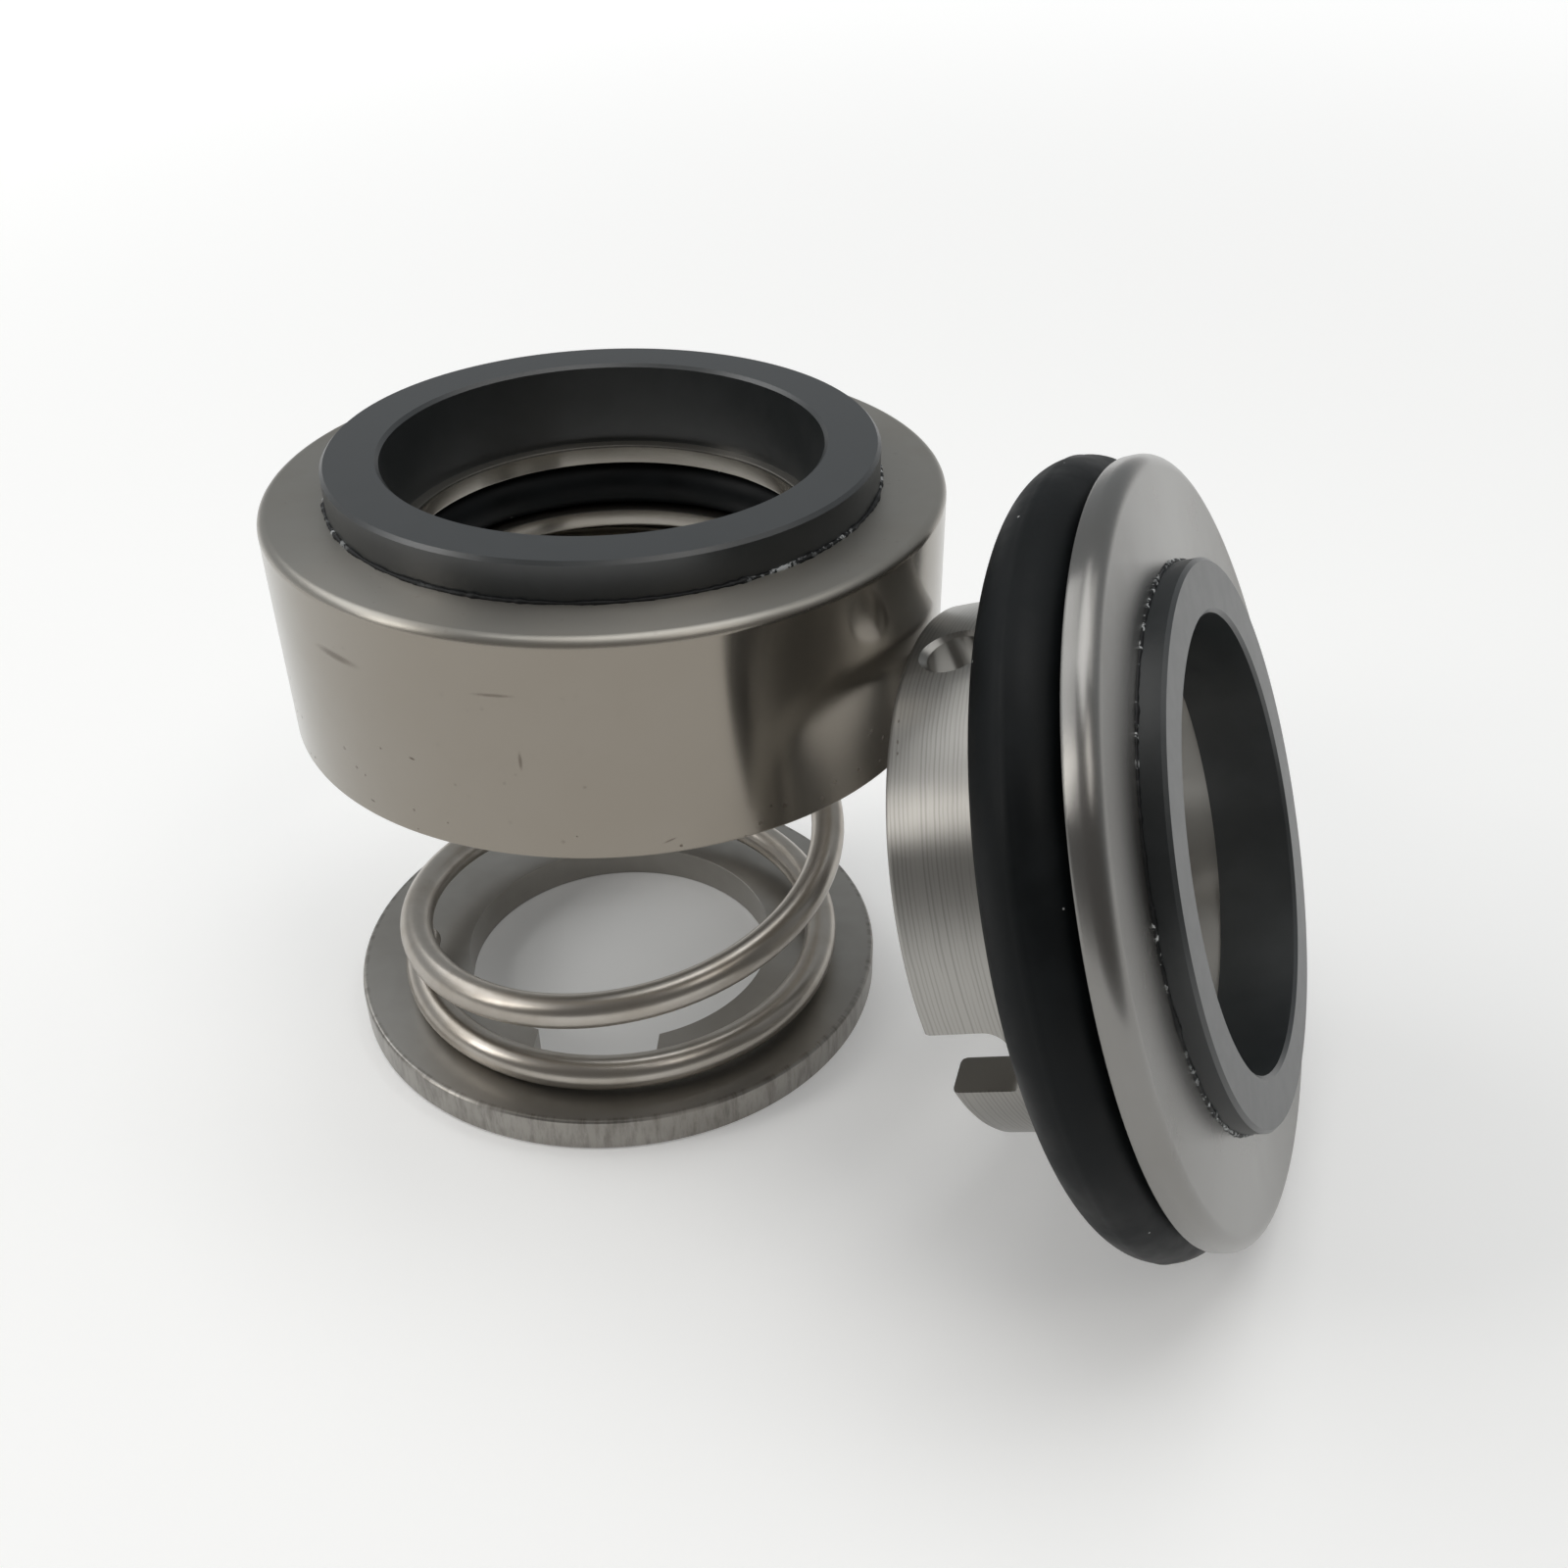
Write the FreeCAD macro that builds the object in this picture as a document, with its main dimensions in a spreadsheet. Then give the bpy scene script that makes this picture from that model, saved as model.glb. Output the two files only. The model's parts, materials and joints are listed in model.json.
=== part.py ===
"""Component mechanical seal for a 35 mm shaft: a sprung rotary unit and its stationary seat.

The spring retainer lies flat, and the spring and the rotary head stand loosely on it, a little off its middle.
The stationary seat rests on its own rubber ring and leans with the rear rim of its sleeve against the head.
Lengths are in millimetres and angles in degrees. The origin is on the retainer's axis, at its base.
"""
import FreeCAD, Part
import math
import os
import re

import Sketcher

SIZES = {
    # Shaft and clearances shared by several pieces
    "shaft_dia": (35.0, "shaft that the seal runs on"),
    "lip_clearance": (0.06, "radial gap between shaft and steel lip"),
    "glue_gap": (0.05, "radial bond gap round a face ring"),
    "rest_gap": (0.05, "gap under the spring's lower end"),
    "touch_gap": (0.3, "gap between pieces of different bodies that rest together"),
    # Spring retainer
    "retainer_rim": (4.45, "disc outside the spring's coil"),
    "retainer_thickness": (3.5, "disc"),
    "shaft_step": (1.9, "how far the shaft steps in at the retainer's bore"),
    "retainer_edge": (0.4, "edge break on the disc"),
    "notch_width": (11.9, "drive notch across the bore"),
    "notch_depth": (3.8, "drive notch bottom, from the bore"),
    "notch_turn": (-4.0, "drive notch, turned from the front"),
    # Compression spring
    "wire_dia": (3.2, "round wire"),
    "coil_clearance": (1.35, "radial gap between shaft and coil"),
    "spring_length": (39.2, "free length over the end coils"),
    "spring_turns": (3.35, "turns in all, ends close wound"),
    "spring_opening": (2.35, "how sharply the pitch opens between the ends"),
    "spring_start": (-180.0, "direction of the lower wire end"),
    "spring_foot_x": (0.5, "middle of the lowest coil, from the retainer's axis"),
    "spring_foot_y": (-1.6, "middle of the lowest coil, from the retainer's axis"),
    # Rotary head
    "head_x": (2.45, "head's axis, from the retainer's axis"),
    "head_y": (-1.63, "head's axis, from the retainer's axis"),
    "head_wall": (5.55, "wall round the face ring's counterbore"),
    "head_height": (19.2, "base to shoulder"),
    "head_edge": (0.7, "rounding of the top outer edge"),
    "head_base_edge": (0.3, "edge break at the base"),
    "cavity_clearance": (0.45, "radial gap between coil and spring pocket"),
    "cavity_depth": (6.5, "spring pocket"),
    "lower_lip": (1.7, "lip under the shaft ring"),
    "groove_side_gap": (0.2, "each side of the shaft ring in its groove"),
    "upper_lip": (1.8, "lip over the shaft ring"),
    "lip_edge": (0.25, "edge break on the lips"),
    "shaft_oring_section": (4.5, "rubber ring in the head"),
    "shaft_oring_squeeze": (0.2, "how far that ring stands into the shaft's radius"),
    # Rotary face ring
    "face_ring_wall": (4.75, "bore to outside"),
    "face_clearance": (1.15, "radial gap between shaft and face rings"),
    "face_ring_proud": (3.3, "face over the head's shoulder"),
    "face_ring_edge": (0.42, "edge break"),
    # Stationary seat
    "flange_reach": (6.25, "front plate of the carrier, from the hub outwards"),
    "flange_thickness": (2.5, "front plate of the carrier"),
    "flange_edge": (0.9, "rounding of the front edge"),
    "flange_back_edge": (0.35, "edge break of the back edge"),
    "hub_length": (6.0, "hub behind the plate, under the rubber ring"),
    "hub_wall": (2.6, "wall round the seat ring's counterbore"),
    "sleeve_wall": (3.55, "sleeve"),
    "seat_length": (19.5, "rear end to the front of the plate"),
    "sleeve_edge": (0.5, "chamfer of the rear end"),
    "carrier_clearance": (1.7, "radial gap between shaft and carrier"),
    "seat_oring_section": (7.1, "rubber ring of the seat"),
    "seat_oring_gap": (0.05, "gap between that ring and what it sits on"),
    "seat_ring_wall": (4.45, "face ring of the seat, bore to outside"),
    "seat_ring_proud": (2.05, "face over the plate"),
    "seat_ring_height": (6.8, "face ring of the seat"),
    "slot_width": (6.7, "open slot in the sleeve"),
    "slot_depth": (6.5, "from the rear end"),
    "slot_corner": (1.7, "inner corners of the slot"),
    "pin_hole_dia": (4.8, "radial hole in the sleeve"),
    "pin_hole_place": (4.1, "hole's centre, from the rear end"),
    "pin_hole_edge": (0.45, "countersink of the hole"),
    # How the seat lies
    "seat_lean": (20.6, "rise of the seat's axis over the floor"),
    "seat_heading": (-20.8, "direction that the seat's face looks to"),
    "seat_bearing": (-26.9, "direction of the sleeve's rear end from the head's axis"),
    "seat_spin": (8.5, "turn of the seat about its own axis"),
}

DERIVED = {
    "retainer_bore_dia": "shaft_dia - 2 * shaft_step",
    "notch_reach": "retainer_bore_dia / 2 + notch_depth",
    "coil_dia": "shaft_dia + 2 * coil_clearance + wire_dia",
    "retainer_dia": "coil_dia + wire_dia + 2 * retainer_rim",
    "cavity_dia": "coil_dia + wire_dia + 2 * cavity_clearance",
    "face_bore_dia": "shaft_dia + 2 * face_clearance",
    "face_ring_dia": "face_bore_dia + 2 * face_ring_wall",
    "counterbore_dia": "face_ring_dia + 2 * glue_gap",
    "head_dia": "counterbore_dia + 2 * head_wall",
    "carrier_bore_dia": "shaft_dia + 2 * carrier_clearance",
    "sleeve_dia": "carrier_bore_dia + 2 * sleeve_wall",
    "seat_ring_dia": "face_bore_dia + 2 * seat_ring_wall",
    "seat_counterbore_dia": "seat_ring_dia + 2 * glue_gap",
    "hub_dia": "seat_counterbore_dia + 2 * hub_wall",
    "flange_dia": "hub_dia + 2 * flange_reach",
    "seat_oring_mean_dia": "hub_dia + seat_oring_section + 2 * seat_oring_gap",
    "head_base_z": "retainer_thickness + rest_gap + spring_length + touch_gap - cavity_depth",
    "lip_dia": "shaft_dia + 2 * lip_clearance",
    "groove_base": "cavity_depth + lower_lip",
    "groove_width": "shaft_oring_section + 2 * groove_side_gap",
    "lip_top": "cavity_depth + lower_lip + groove_width + upper_lip",
    "shaft_oring_mean": "(shaft_dia - 2 * shaft_oring_squeeze + shaft_oring_section) / 2",
    "groove_dia": "shaft_dia - 2 * shaft_oring_squeeze + 2 * shaft_oring_section + 2 * glue_gap",
    "face_ring_height": "head_height + face_ring_proud - lip_top",
    "seat_plate_back": "seat_length - flange_thickness",
    "seat_oring_place": "seat_length - flange_thickness - seat_oring_gap - seat_oring_section / 2",
    "seat_ring_base": "seat_length + seat_ring_proud - seat_ring_height",
}

# Planes of a body, by role
PROFILE_PLANE = "XZ_Plane"
CROSS_PLANE = "YZ_Plane"
FLOOR_PLANE = "XY_Plane"

# Turn of the spring's path from one short run to the next, in degrees
HELIX_STEP = 12.0

# Points tried round the sleeve's rear rim, to find where it meets the head
RIM_POINTS = 720

# Lengths closer than this are the same, in millimetres
SAME_LENGTH = 1e-4

document = FreeCAD.newDocument("mechanical_seal")


def fill_sheet(doc):
    """Writes the driving sizes, and the sizes worked out from them, to the sheet."""
    sheet = doc.addObject("Spreadsheet::Sheet", "Sizes")
    row = 1
    for alias, (value, meaning) in SIZES.items():
        sheet.set(f"A{row}", meaning)
        sheet.set(f"B{row}", str(value))
        sheet.setAlias(f"B{row}", alias)
        row += 1
    for alias, formula in DERIVED.items():
        sheet.set(f"A{row}", alias.replace("_", " "))
        sheet.set(f"B{row}", "=" + formula)
        sheet.setAlias(f"B{row}", alias)
        row += 1
    doc.recompute()
    return sheet


def in_sheet(formula):
    """Puts the sheet's name before each alias in a formula."""
    known = SIZES.keys() | DERIVED.keys()
    return re.sub(r"[a-z_]+", lambda word: "Sizes." + word[0] if word[0] in known else word[0], formula)


def origin_plane(body, role):
    """The body's own origin plane of that role."""
    return next(item for item in body.Origin.OriginFeatures if item.Role == role)


def new_body(doc, label):
    """An empty body named and labelled as the sub-part."""
    body = doc.addObject("PartDesign::Body", label)
    body.Label = label
    return body


def polygon_sketch(body, name, corners, role=PROFILE_PLANE):
    """A closed outline on an origin plane; each corner is a pair of formulas bound to the sheet."""
    sketch = body.newObject("Sketcher::SketchObject", name)
    sketch.AttachmentSupport = [(origin_plane(body, role), "")]
    sketch.MapMode = "FlatFace"
    points = [FreeCAD.Vector(value_of(across), value_of(up), 0) for across, up in corners]
    count = len(points)
    for index, point in enumerate(points):
        sketch.addGeometry(Part.LineSegment(point, points[(index + 1) % count]), False)
    for index in range(count):
        following = (index + 1) % count
        sketch.addConstraint(Sketcher.Constraint("Coincident", index, 2, following, 1))
    for index, (across, up) in enumerate(corners):
        point = points[index]
        for kind, formula, value in (("DistanceX", across, point.x), ("DistanceY", up, point.y)):
            number = sketch.addConstraint(Sketcher.Constraint(kind, -1, 1, index, 1, value))
            sketch.setExpression(f"Constraints[{number}]", in_sheet(formula))
    return sketch


def value_of(formula):
    """The value of a formula of the sheet's aliases."""
    total = document.Sizes.evalExpression(formula)
    return float(getattr(total, "Value", total))


def revolve(body, name, corners):
    """Turns an outline about the vertical axis."""
    sketch = polygon_sketch(body, name + "_outline", corners)
    turned = body.newObject("PartDesign::Revolution", name)
    turned.Profile = sketch
    turned.ReferenceAxis = (sketch, ["V_Axis"])
    turned.Angle = 360.0
    body.Document.recompute()
    return turned


def circle_edges(shape, diameter, height):
    """Names of the whole round edges of that diameter at that height."""
    names = []
    for number, edge in enumerate(shape.Edges, 1):
        if not isinstance(edge.Curve, Part.Circle):
            continue
        same_size = abs(2 * edge.Curve.Radius - diameter) < SAME_LENGTH
        if same_size and abs(edge.Curve.Center.z - height) < SAME_LENGTH:
            names.append(f"Edge{number}")
    return names


def dress_edge(body, kind, name, base, rings, size):
    """Adds a fillet or chamfer on round edges, given as pairs of diameter and height formulas."""
    edges = []
    for diameter, height in rings:
        found = circle_edges(base.Shape, value_of(diameter), value_of(height))
        if not found:
            raise RuntimeError(f"{name}: no edge of {diameter} at {height}")
        edges += found
    feature = body.newObject(kind, name)
    feature.Base = (base, edges)
    feature.setExpression("Radius" if kind.endswith("Fillet") else "Size", in_sheet(size))
    body.Document.recompute()
    return feature


def check_cut(before, after, name):
    """Stops if a cut took nothing away."""
    if not after < before - SAME_LENGTH:
        raise RuntimeError(f"{name} cuts nothing")


def make_spring_retainer(doc):
    """Flat turned disc that carries the spring, with a drive notch across its bore."""
    body = new_body(doc, "spring_retainer")
    disc = revolve(body, "disc", [
        ("retainer_bore_dia / 2", "0"),
        ("retainer_dia / 2", "0"),
        ("retainer_dia / 2", "retainer_thickness"),
        ("retainer_bore_dia / 2", "retainer_thickness"),
    ])
    broken = dress_edge(body, "PartDesign::Chamfer", "disc_edges", disc, [
        ("retainer_dia", "0"),
        ("retainer_dia", "retainer_thickness"),
    ], "retainer_edge")
    before = broken.Shape.Volume
    outline = polygon_sketch(body, "notch_outline", [
        ("-notch_width / 2", "-notch_reach"),
        ("notch_width / 2", "-notch_reach"),
        ("notch_width / 2", "0"),
        ("-notch_width / 2", "0"),
    ], FLOOR_PLANE)
    notch = body.newObject("PartDesign::Pocket", "drive_notch")
    notch.Profile = outline
    notch.Type = "ThroughAll"
    notch.Reversed = True
    doc.recompute()
    check_cut(before, notch.Shape.Volume, "drive_notch")
    body.setExpression("Placement", "placement(vector(0; 0; 0); rotation(vector(0; 0; 1); Sizes.notch_turn))")
    return body


def spring_height(turned, length, opening):
    """Height of the wire over the spring's middle; turned goes from -1 at the lower end to 1 at the upper."""
    return length / 2 * math.tanh(opening * turned) / math.tanh(opening)


def smooth_share(share):
    """Share held between 0 and 1, starting and ending gently."""
    held = min(max(share, 0.0), 1.0)
    return held * held * (3 - 2 * held)


def make_compression_spring(doc):
    """Round-wire spring: close-wound end coils, with the pitch opening smoothly between them.

    It leans from its foot on the retainer to the head's axis, and stands straight inside the head's pocket.
    The wire follows its coil in short straight runs, mitred where they meet, which the sweep's last setting asks.
    """
    size = doc.Sizes
    wire = size.wire_dia
    coil_radius = size.coil_dia / 2
    travel = size.spring_length - wire
    foot_z = size.retainer_thickness + size.rest_gap
    middle = foot_z + size.spring_length / 2
    swept = 360.0 * size.spring_turns
    count = int(math.ceil(swept / HELIX_STEP))
    points = []
    for index in range(count + 1):
        share = index / count
        angle = math.radians(size.spring_start + swept * share)
        height = middle + spring_height(2 * share - 1, travel, size.spring_opening)
        lean = smooth_share((height - foot_z - wire) / (size.head_base_z - foot_z - wire))
        across = size.spring_foot_x + (size.head_x - size.spring_foot_x) * lean
        along = size.spring_foot_y + (size.head_y - size.spring_foot_y) * lean
        around = FreeCAD.Vector(coil_radius * math.cos(angle), coil_radius * math.sin(angle), 0)
        points.append(around + FreeCAD.Vector(across, along, height))
    path = Part.makePolygon(points)
    section = Part.Wire([Part.makeCircle(wire / 2, points[0], points[1] - points[0])])
    spring = doc.addObject("Part::Feature", "compression_spring")
    spring.Shape = path.makePipeShell([section], True, False, 1)
    spring.Label = "compression_spring"
    spring.Placement = FreeCAD.Placement()
    return spring


def head_placement(height):
    """Formula of a placement on the head's axis, at the height that a formula gives."""
    return in_sheet(f"placement(vector(head_x; head_y; {height}); rotation(0; 0; 0))")


def make_rotary_head(doc):
    """Turned steel head: spring pocket below, two lips with a ring groove between, counterbore above."""
    body = new_body(doc, "rotary_head")
    turned = revolve(body, "turned_head", [
        ("cavity_dia / 2", "0"),
        ("head_dia / 2", "0"),
        ("head_dia / 2", "head_height"),
        ("counterbore_dia / 2", "head_height"),
        ("counterbore_dia / 2", "lip_top"),
        ("lip_dia / 2", "lip_top"),
        ("lip_dia / 2", "groove_base + groove_width"),
        ("groove_dia / 2", "groove_base + groove_width"),
        ("groove_dia / 2", "groove_base"),
        ("lip_dia / 2", "groove_base"),
        ("lip_dia / 2", "cavity_depth"),
        ("cavity_dia / 2", "cavity_depth"),
    ])
    rounded = dress_edge(body, "PartDesign::Fillet", "shoulder_rounding", turned, [
        ("head_dia", "head_height"),
    ], "head_edge")
    broken = dress_edge(body, "PartDesign::Chamfer", "base_edges", rounded, [
        ("head_dia", "0"),
        ("cavity_dia", "0"),
    ], "head_base_edge")
    dress_edge(body, "PartDesign::Chamfer", "lip_edges", broken, [
        ("lip_dia", "lip_top"),
        ("lip_dia", "cavity_depth"),
    ], "lip_edge")
    body.setExpression("Placement", head_placement("head_base_z"))
    return body


def make_face_ring(doc, label, outside, bore, height, edge):
    """Hard face ring with broken edges at its face; its base is at height 0."""
    body = new_body(doc, label)
    ring = revolve(body, label + "_blank", [
        (f"{bore} / 2", "0"),
        (f"{outside} / 2", "0"),
        (f"{outside} / 2", height),
        (f"{bore} / 2", height),
    ])
    dress_edge(body, "PartDesign::Chamfer", label + "_edges", ring, [
        (outside, height),
        (bore, height),
    ], edge)
    return body


def make_rotary_face_ring(doc):
    """Face ring bonded into the head, standing on the upper lip."""
    body = make_face_ring(doc, "rotary_face_ring", "face_ring_dia", "face_bore_dia", "face_ring_height",
                          "face_ring_edge")
    body.setExpression("Placement", head_placement("head_base_z + lip_top"))
    return body


def make_rubber_ring(doc, label, mean_radius, section):
    """Round rubber ring about the origin."""
    ring = doc.addObject("Part::Torus", label)
    ring.Label = label
    ring.setExpression("Radius1", in_sheet(mean_radius))
    ring.setExpression("Radius2", in_sheet(section + " / 2"))
    return ring


def make_shaft_oring(doc):
    """Rubber ring in the head's groove, half way between the lips."""
    ring = make_rubber_ring(doc, "shaft_oring", "shaft_oring_mean", "shaft_oring_section")
    ring.setExpression("Placement", head_placement("head_base_z + groove_base + groove_width / 2"))
    return ring


def rounded_slot_sketch(body):
    """Outline of the sleeve's slot: open at the rear end, with two rounded inner corners."""
    half = value_of("slot_width / 2")
    depth = value_of("slot_depth")
    corner = value_of("slot_corner")
    below = value_of("sleeve_edge")
    sketch = body.newObject("Sketcher::SketchObject", "slot_outline")
    sketch.AttachmentSupport = [(origin_plane(body, PROFILE_PLANE), "")]
    sketch.MapMode = "FlatFace"
    vector = FreeCAD.Vector
    lines = [
        (vector(-half, -below, 0), vector(half, -below, 0)),
        (vector(half, -below, 0), vector(half, depth - corner, 0)),
        (vector(half - corner, depth, 0), vector(corner - half, depth, 0)),
        (vector(-half, depth - corner, 0), vector(-half, -below, 0)),
    ]
    mouth, right, end, left = [sketch.addGeometry(Part.LineSegment(*line), False) for line in lines]
    normal = vector(0, 0, 1)
    arcs = []
    for centre, first, last in (
        (vector(half - corner, depth - corner, 0), 0.0, math.pi / 2),
        (vector(corner - half, depth - corner, 0), math.pi / 2, math.pi),
    ):
        circle = Part.Circle(centre, normal, corner)
        arcs.append(sketch.addGeometry(Part.ArcOfCircle(circle, first, last), False))
    for kind, one, other in (
        ("Coincident", mouth, right),
        ("Coincident", left, mouth),
        ("Tangent", right, arcs[0]),
        ("Tangent", arcs[0], end),
        ("Tangent", end, arcs[1]),
        ("Tangent", arcs[1], left),
    ):
        sketch.addConstraint(Sketcher.Constraint(kind, one, 2, other, 1))
    for line, direction in ((end, "Horizontal"), (right, "Vertical"), (left, "Vertical")):
        sketch.addConstraint(Sketcher.Constraint(direction, line))
    sketch.addConstraint(Sketcher.Constraint("Symmetric", mouth, 1, mouth, 2, -2))
    for kind, ends, value, formula in (
        ("DistanceX", (mouth, 1, mouth, 2), 2 * half, "slot_width"),
        ("DistanceY", (mouth, 1, -1, 1), below, "sleeve_edge"),
        ("DistanceY", (-1, 1, end, 1), depth, "slot_depth"),
    ):
        number = sketch.addConstraint(Sketcher.Constraint(kind, *ends, value))
        sketch.setExpression(f"Constraints[{number}]", in_sheet(formula))
    number = sketch.addConstraint(Sketcher.Constraint("Radius", arcs[0], corner))
    sketch.setExpression(f"Constraints[{number}]", in_sheet("slot_corner"))
    sketch.addConstraint(Sketcher.Constraint("Equal", arcs[0], arcs[1]))
    return sketch


def hole_sketch(body, name, diameter):
    """Circle on the cross plane at the place of the radial hole."""
    sketch = body.newObject("Sketcher::SketchObject", name)
    sketch.AttachmentSupport = [(origin_plane(body, CROSS_PLANE), "")]
    sketch.MapMode = "FlatFace"
    place = FreeCAD.Vector(0, value_of("pin_hole_place"), 0)
    circle = sketch.addGeometry(Part.Circle(place, FreeCAD.Vector(0, 0, 1), value_of(diameter) / 2), False)
    sketch.addConstraint(Sketcher.Constraint("PointOnObject", circle, 3, -2))
    number = sketch.addConstraint(Sketcher.Constraint("DistanceY", -1, 1, circle, 3, place.y))
    sketch.setExpression(f"Constraints[{number}]", in_sheet("pin_hole_place"))
    number = sketch.addConstraint(Sketcher.Constraint("Diameter", circle, value_of(diameter)))
    sketch.setExpression(f"Constraints[{number}]", in_sheet(diameter))
    return sketch


def make_seat_carrier(doc):
    """Turned carrier: front plate, hub under the rubber ring, and a sleeve with a slot and a radial hole.

    Its own axis is vertical here, with the sleeve's rear end at height 0 and the plate's face on top.
    """
    body = new_body(doc, "seat_carrier")
    turned = revolve(body, "turned_carrier", [
        ("carrier_bore_dia / 2", "0"),
        ("sleeve_dia / 2", "0"),
        ("sleeve_dia / 2", "seat_plate_back - hub_length"),
        ("hub_dia / 2", "seat_plate_back - hub_length"),
        ("hub_dia / 2", "seat_plate_back"),
        ("flange_dia / 2", "seat_plate_back"),
        ("flange_dia / 2", "seat_length"),
        ("seat_counterbore_dia / 2", "seat_length"),
        ("seat_counterbore_dia / 2", "seat_ring_base"),
        ("carrier_bore_dia / 2", "seat_ring_base"),
    ])
    front = dress_edge(body, "PartDesign::Fillet", "plate_front_rounding", turned, [
        ("flange_dia", "seat_length"),
    ], "flange_edge")
    back = dress_edge(body, "PartDesign::Chamfer", "plate_back_edge", front, [
        ("flange_dia", "seat_plate_back"),
    ], "flange_back_edge")
    ends = dress_edge(body, "PartDesign::Chamfer", "sleeve_edges", back, [
        ("sleeve_dia", "0"),
        ("carrier_bore_dia", "0"),
    ], "sleeve_edge")
    slot = body.newObject("PartDesign::Pocket", "sleeve_slot")
    slot.Profile = rounded_slot_sketch(body)
    slot.Type = "ThroughAll"
    slot.Reversed = True
    doc.recompute()
    check_cut(ends.Shape.Volume, slot.Shape.Volume, "sleeve_slot")
    hole = body.newObject("PartDesign::Pocket", "pin_hole")
    hole.Profile = hole_sketch(body, "pin_hole_outline", "pin_hole_dia")
    hole.Type = "ThroughAll"
    doc.recompute()
    check_cut(slot.Shape.Volume, hole.Shape.Volume, "pin_hole")
    rim = [
        f"Edge{number}" for number, edge in enumerate(hole.Shape.Edges, 1)
        if edge.BoundBox.XMax < -value_of("carrier_bore_dia / 2 + 1")
        and edge.BoundBox.YLength < value_of("pin_hole_dia") + 0.1
        and edge.BoundBox.ZLength > value_of("pin_hole_dia") - 0.1
        and edge.isClosed()
    ]
    sunk = body.newObject("PartDesign::Chamfer", "pin_hole_countersink")
    sunk.Base = (hole, rim)
    sunk.setExpression("Size", in_sheet("pin_hole_edge"))
    doc.recompute()
    check_cut(hole.Shape.Volume, sunk.Shape.Volume, "pin_hole_countersink")
    return body


def make_seat_face_ring(doc):
    """Face ring bonded into the carrier's counterbore."""
    return make_face_ring(doc, "seat_face_ring", "seat_ring_dia", "face_bore_dia", "seat_ring_height",
                          "face_ring_edge")


def seat_placement(size):
    """Place of the seat: rubber ring on the floor, rear rim of the sleeve a touch gap off the head.

    The seat's own frame has the sleeve's rear end at height 0 and its face looking up.
    """
    lean = math.radians(size.seat_lean)
    turn = FreeCAD.Rotation(size.seat_heading, 90 - size.seat_lean, 0)
    spin = FreeCAD.Rotation(FreeCAD.Vector(0, 0, 1), size.seat_spin)
    ring_centre_z = size.seat_oring_mean_dia / 2 * math.cos(lean) + size.seat_oring_section / 2
    rear_z = ring_centre_z - size.seat_oring_place * math.sin(lean)
    bearing = math.radians(size.seat_bearing)
    rims = (
        (size.sleeve_dia / 2 - size.sleeve_edge, 0.0),
        (size.sleeve_dia / 2, size.sleeve_edge),
    )
    head_radius = size.head_dia / 2

    def rear_centre(distance):
        """Centre of the sleeve's rear end, at that distance from the head's axis."""
        across = size.head_x + distance * math.cos(bearing)
        along = size.head_y + distance * math.sin(bearing)
        return FreeCAD.Vector(across, along, rear_z)

    def nearest(distance):
        """Least distance of the rear rim from the head's axis."""
        least = math.inf
        for radius, height in rims:
            for step in range(RIM_POINTS):
                angle = 2 * math.pi * step / RIM_POINTS
                rim = FreeCAD.Vector(radius * math.cos(angle), radius * math.sin(angle), height)
                point = rear_centre(distance) + turn.multVec(rim)
                least = min(least, math.hypot(point.x - size.head_x, point.y - size.head_y))
        return least

    near, far = head_radius, head_radius + 2 * size.flange_dia
    while far - near > SAME_LENGTH:
        middle = (near + far) / 2
        if nearest(middle) < head_radius + size.touch_gap:
            near = middle
        else:
            far = middle
    return FreeCAD.Placement(rear_centre(far), turn.multiply(spin))


def lay_seat(size, carrier, face_ring, rubber_ring):
    """Puts the seat's pieces together on their common axis and leans them on the head."""
    whole = seat_placement(size)
    for piece, height in (
        (carrier, 0.0),
        (face_ring, size.seat_ring_base),
        (rubber_ring, size.seat_oring_place),
    ):
        lifted = FreeCAD.Placement(FreeCAD.Vector(0, 0, height), FreeCAD.Rotation())
        piece.Placement = whole.multiply(lifted)


def check_document(doc, pieces):
    """Stops on any failed object, and on any sub-part whose shape is null or not valid."""
    for item in doc.Objects:
        if "Invalid" in item.State or "Error" in item.State:
            raise RuntimeError(f"{item.Label} failed: {item.State}")
    for piece in pieces:
        if piece.Shape.isNull() or not piece.Shape.isValid():
            raise RuntimeError(f"{piece.Label} has no valid shape")
        if len(piece.Shape.Solids) != 1:
            raise RuntimeError(f"{piece.Label} is not one solid")


def main():
    """Builds every sub-part and writes one file for each."""
    sheet = fill_sheet(document)
    pieces = [
        make_spring_retainer(document),
        make_compression_spring(document),
        make_rotary_head(document),
        make_rotary_face_ring(document),
        make_shaft_oring(document),
    ]
    carrier = make_seat_carrier(document)
    seat_ring = make_seat_face_ring(document)
    seat_oring = make_rubber_ring(document, "seat_oring", "seat_oring_mean_dia / 2", "seat_oring_section")
    document.recompute()
    lay_seat(sheet, carrier, seat_ring, seat_oring)
    pieces += [carrier, seat_ring, seat_oring]
    document.recompute()
    check_document(document, pieces)
    os.makedirs("parts", exist_ok=True)
    for piece in pieces:
        piece.Shape.exportStep(f"parts/{piece.Label}.step")
        box = piece.Shape.BoundBox
        print(f"{piece.Label}: volume {piece.Shape.Volume:.1f}, z {box.ZMin:.2f} to {box.ZMax:.2f}")


main()
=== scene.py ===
"""Dresses the component mechanical seal: the sprung rotary head on its spring retainer, and the seat beside it.

Pieces are modelled in millimetres about their own axis, and then put in place in metres.
"""
from __future__ import annotations

import json
import logging
import math
from abc import ABC, abstractmethod
from dataclasses import dataclass, field, replace
from enum import Enum
from functools import reduce
from typing import Iterable, Sequence, Union

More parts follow.
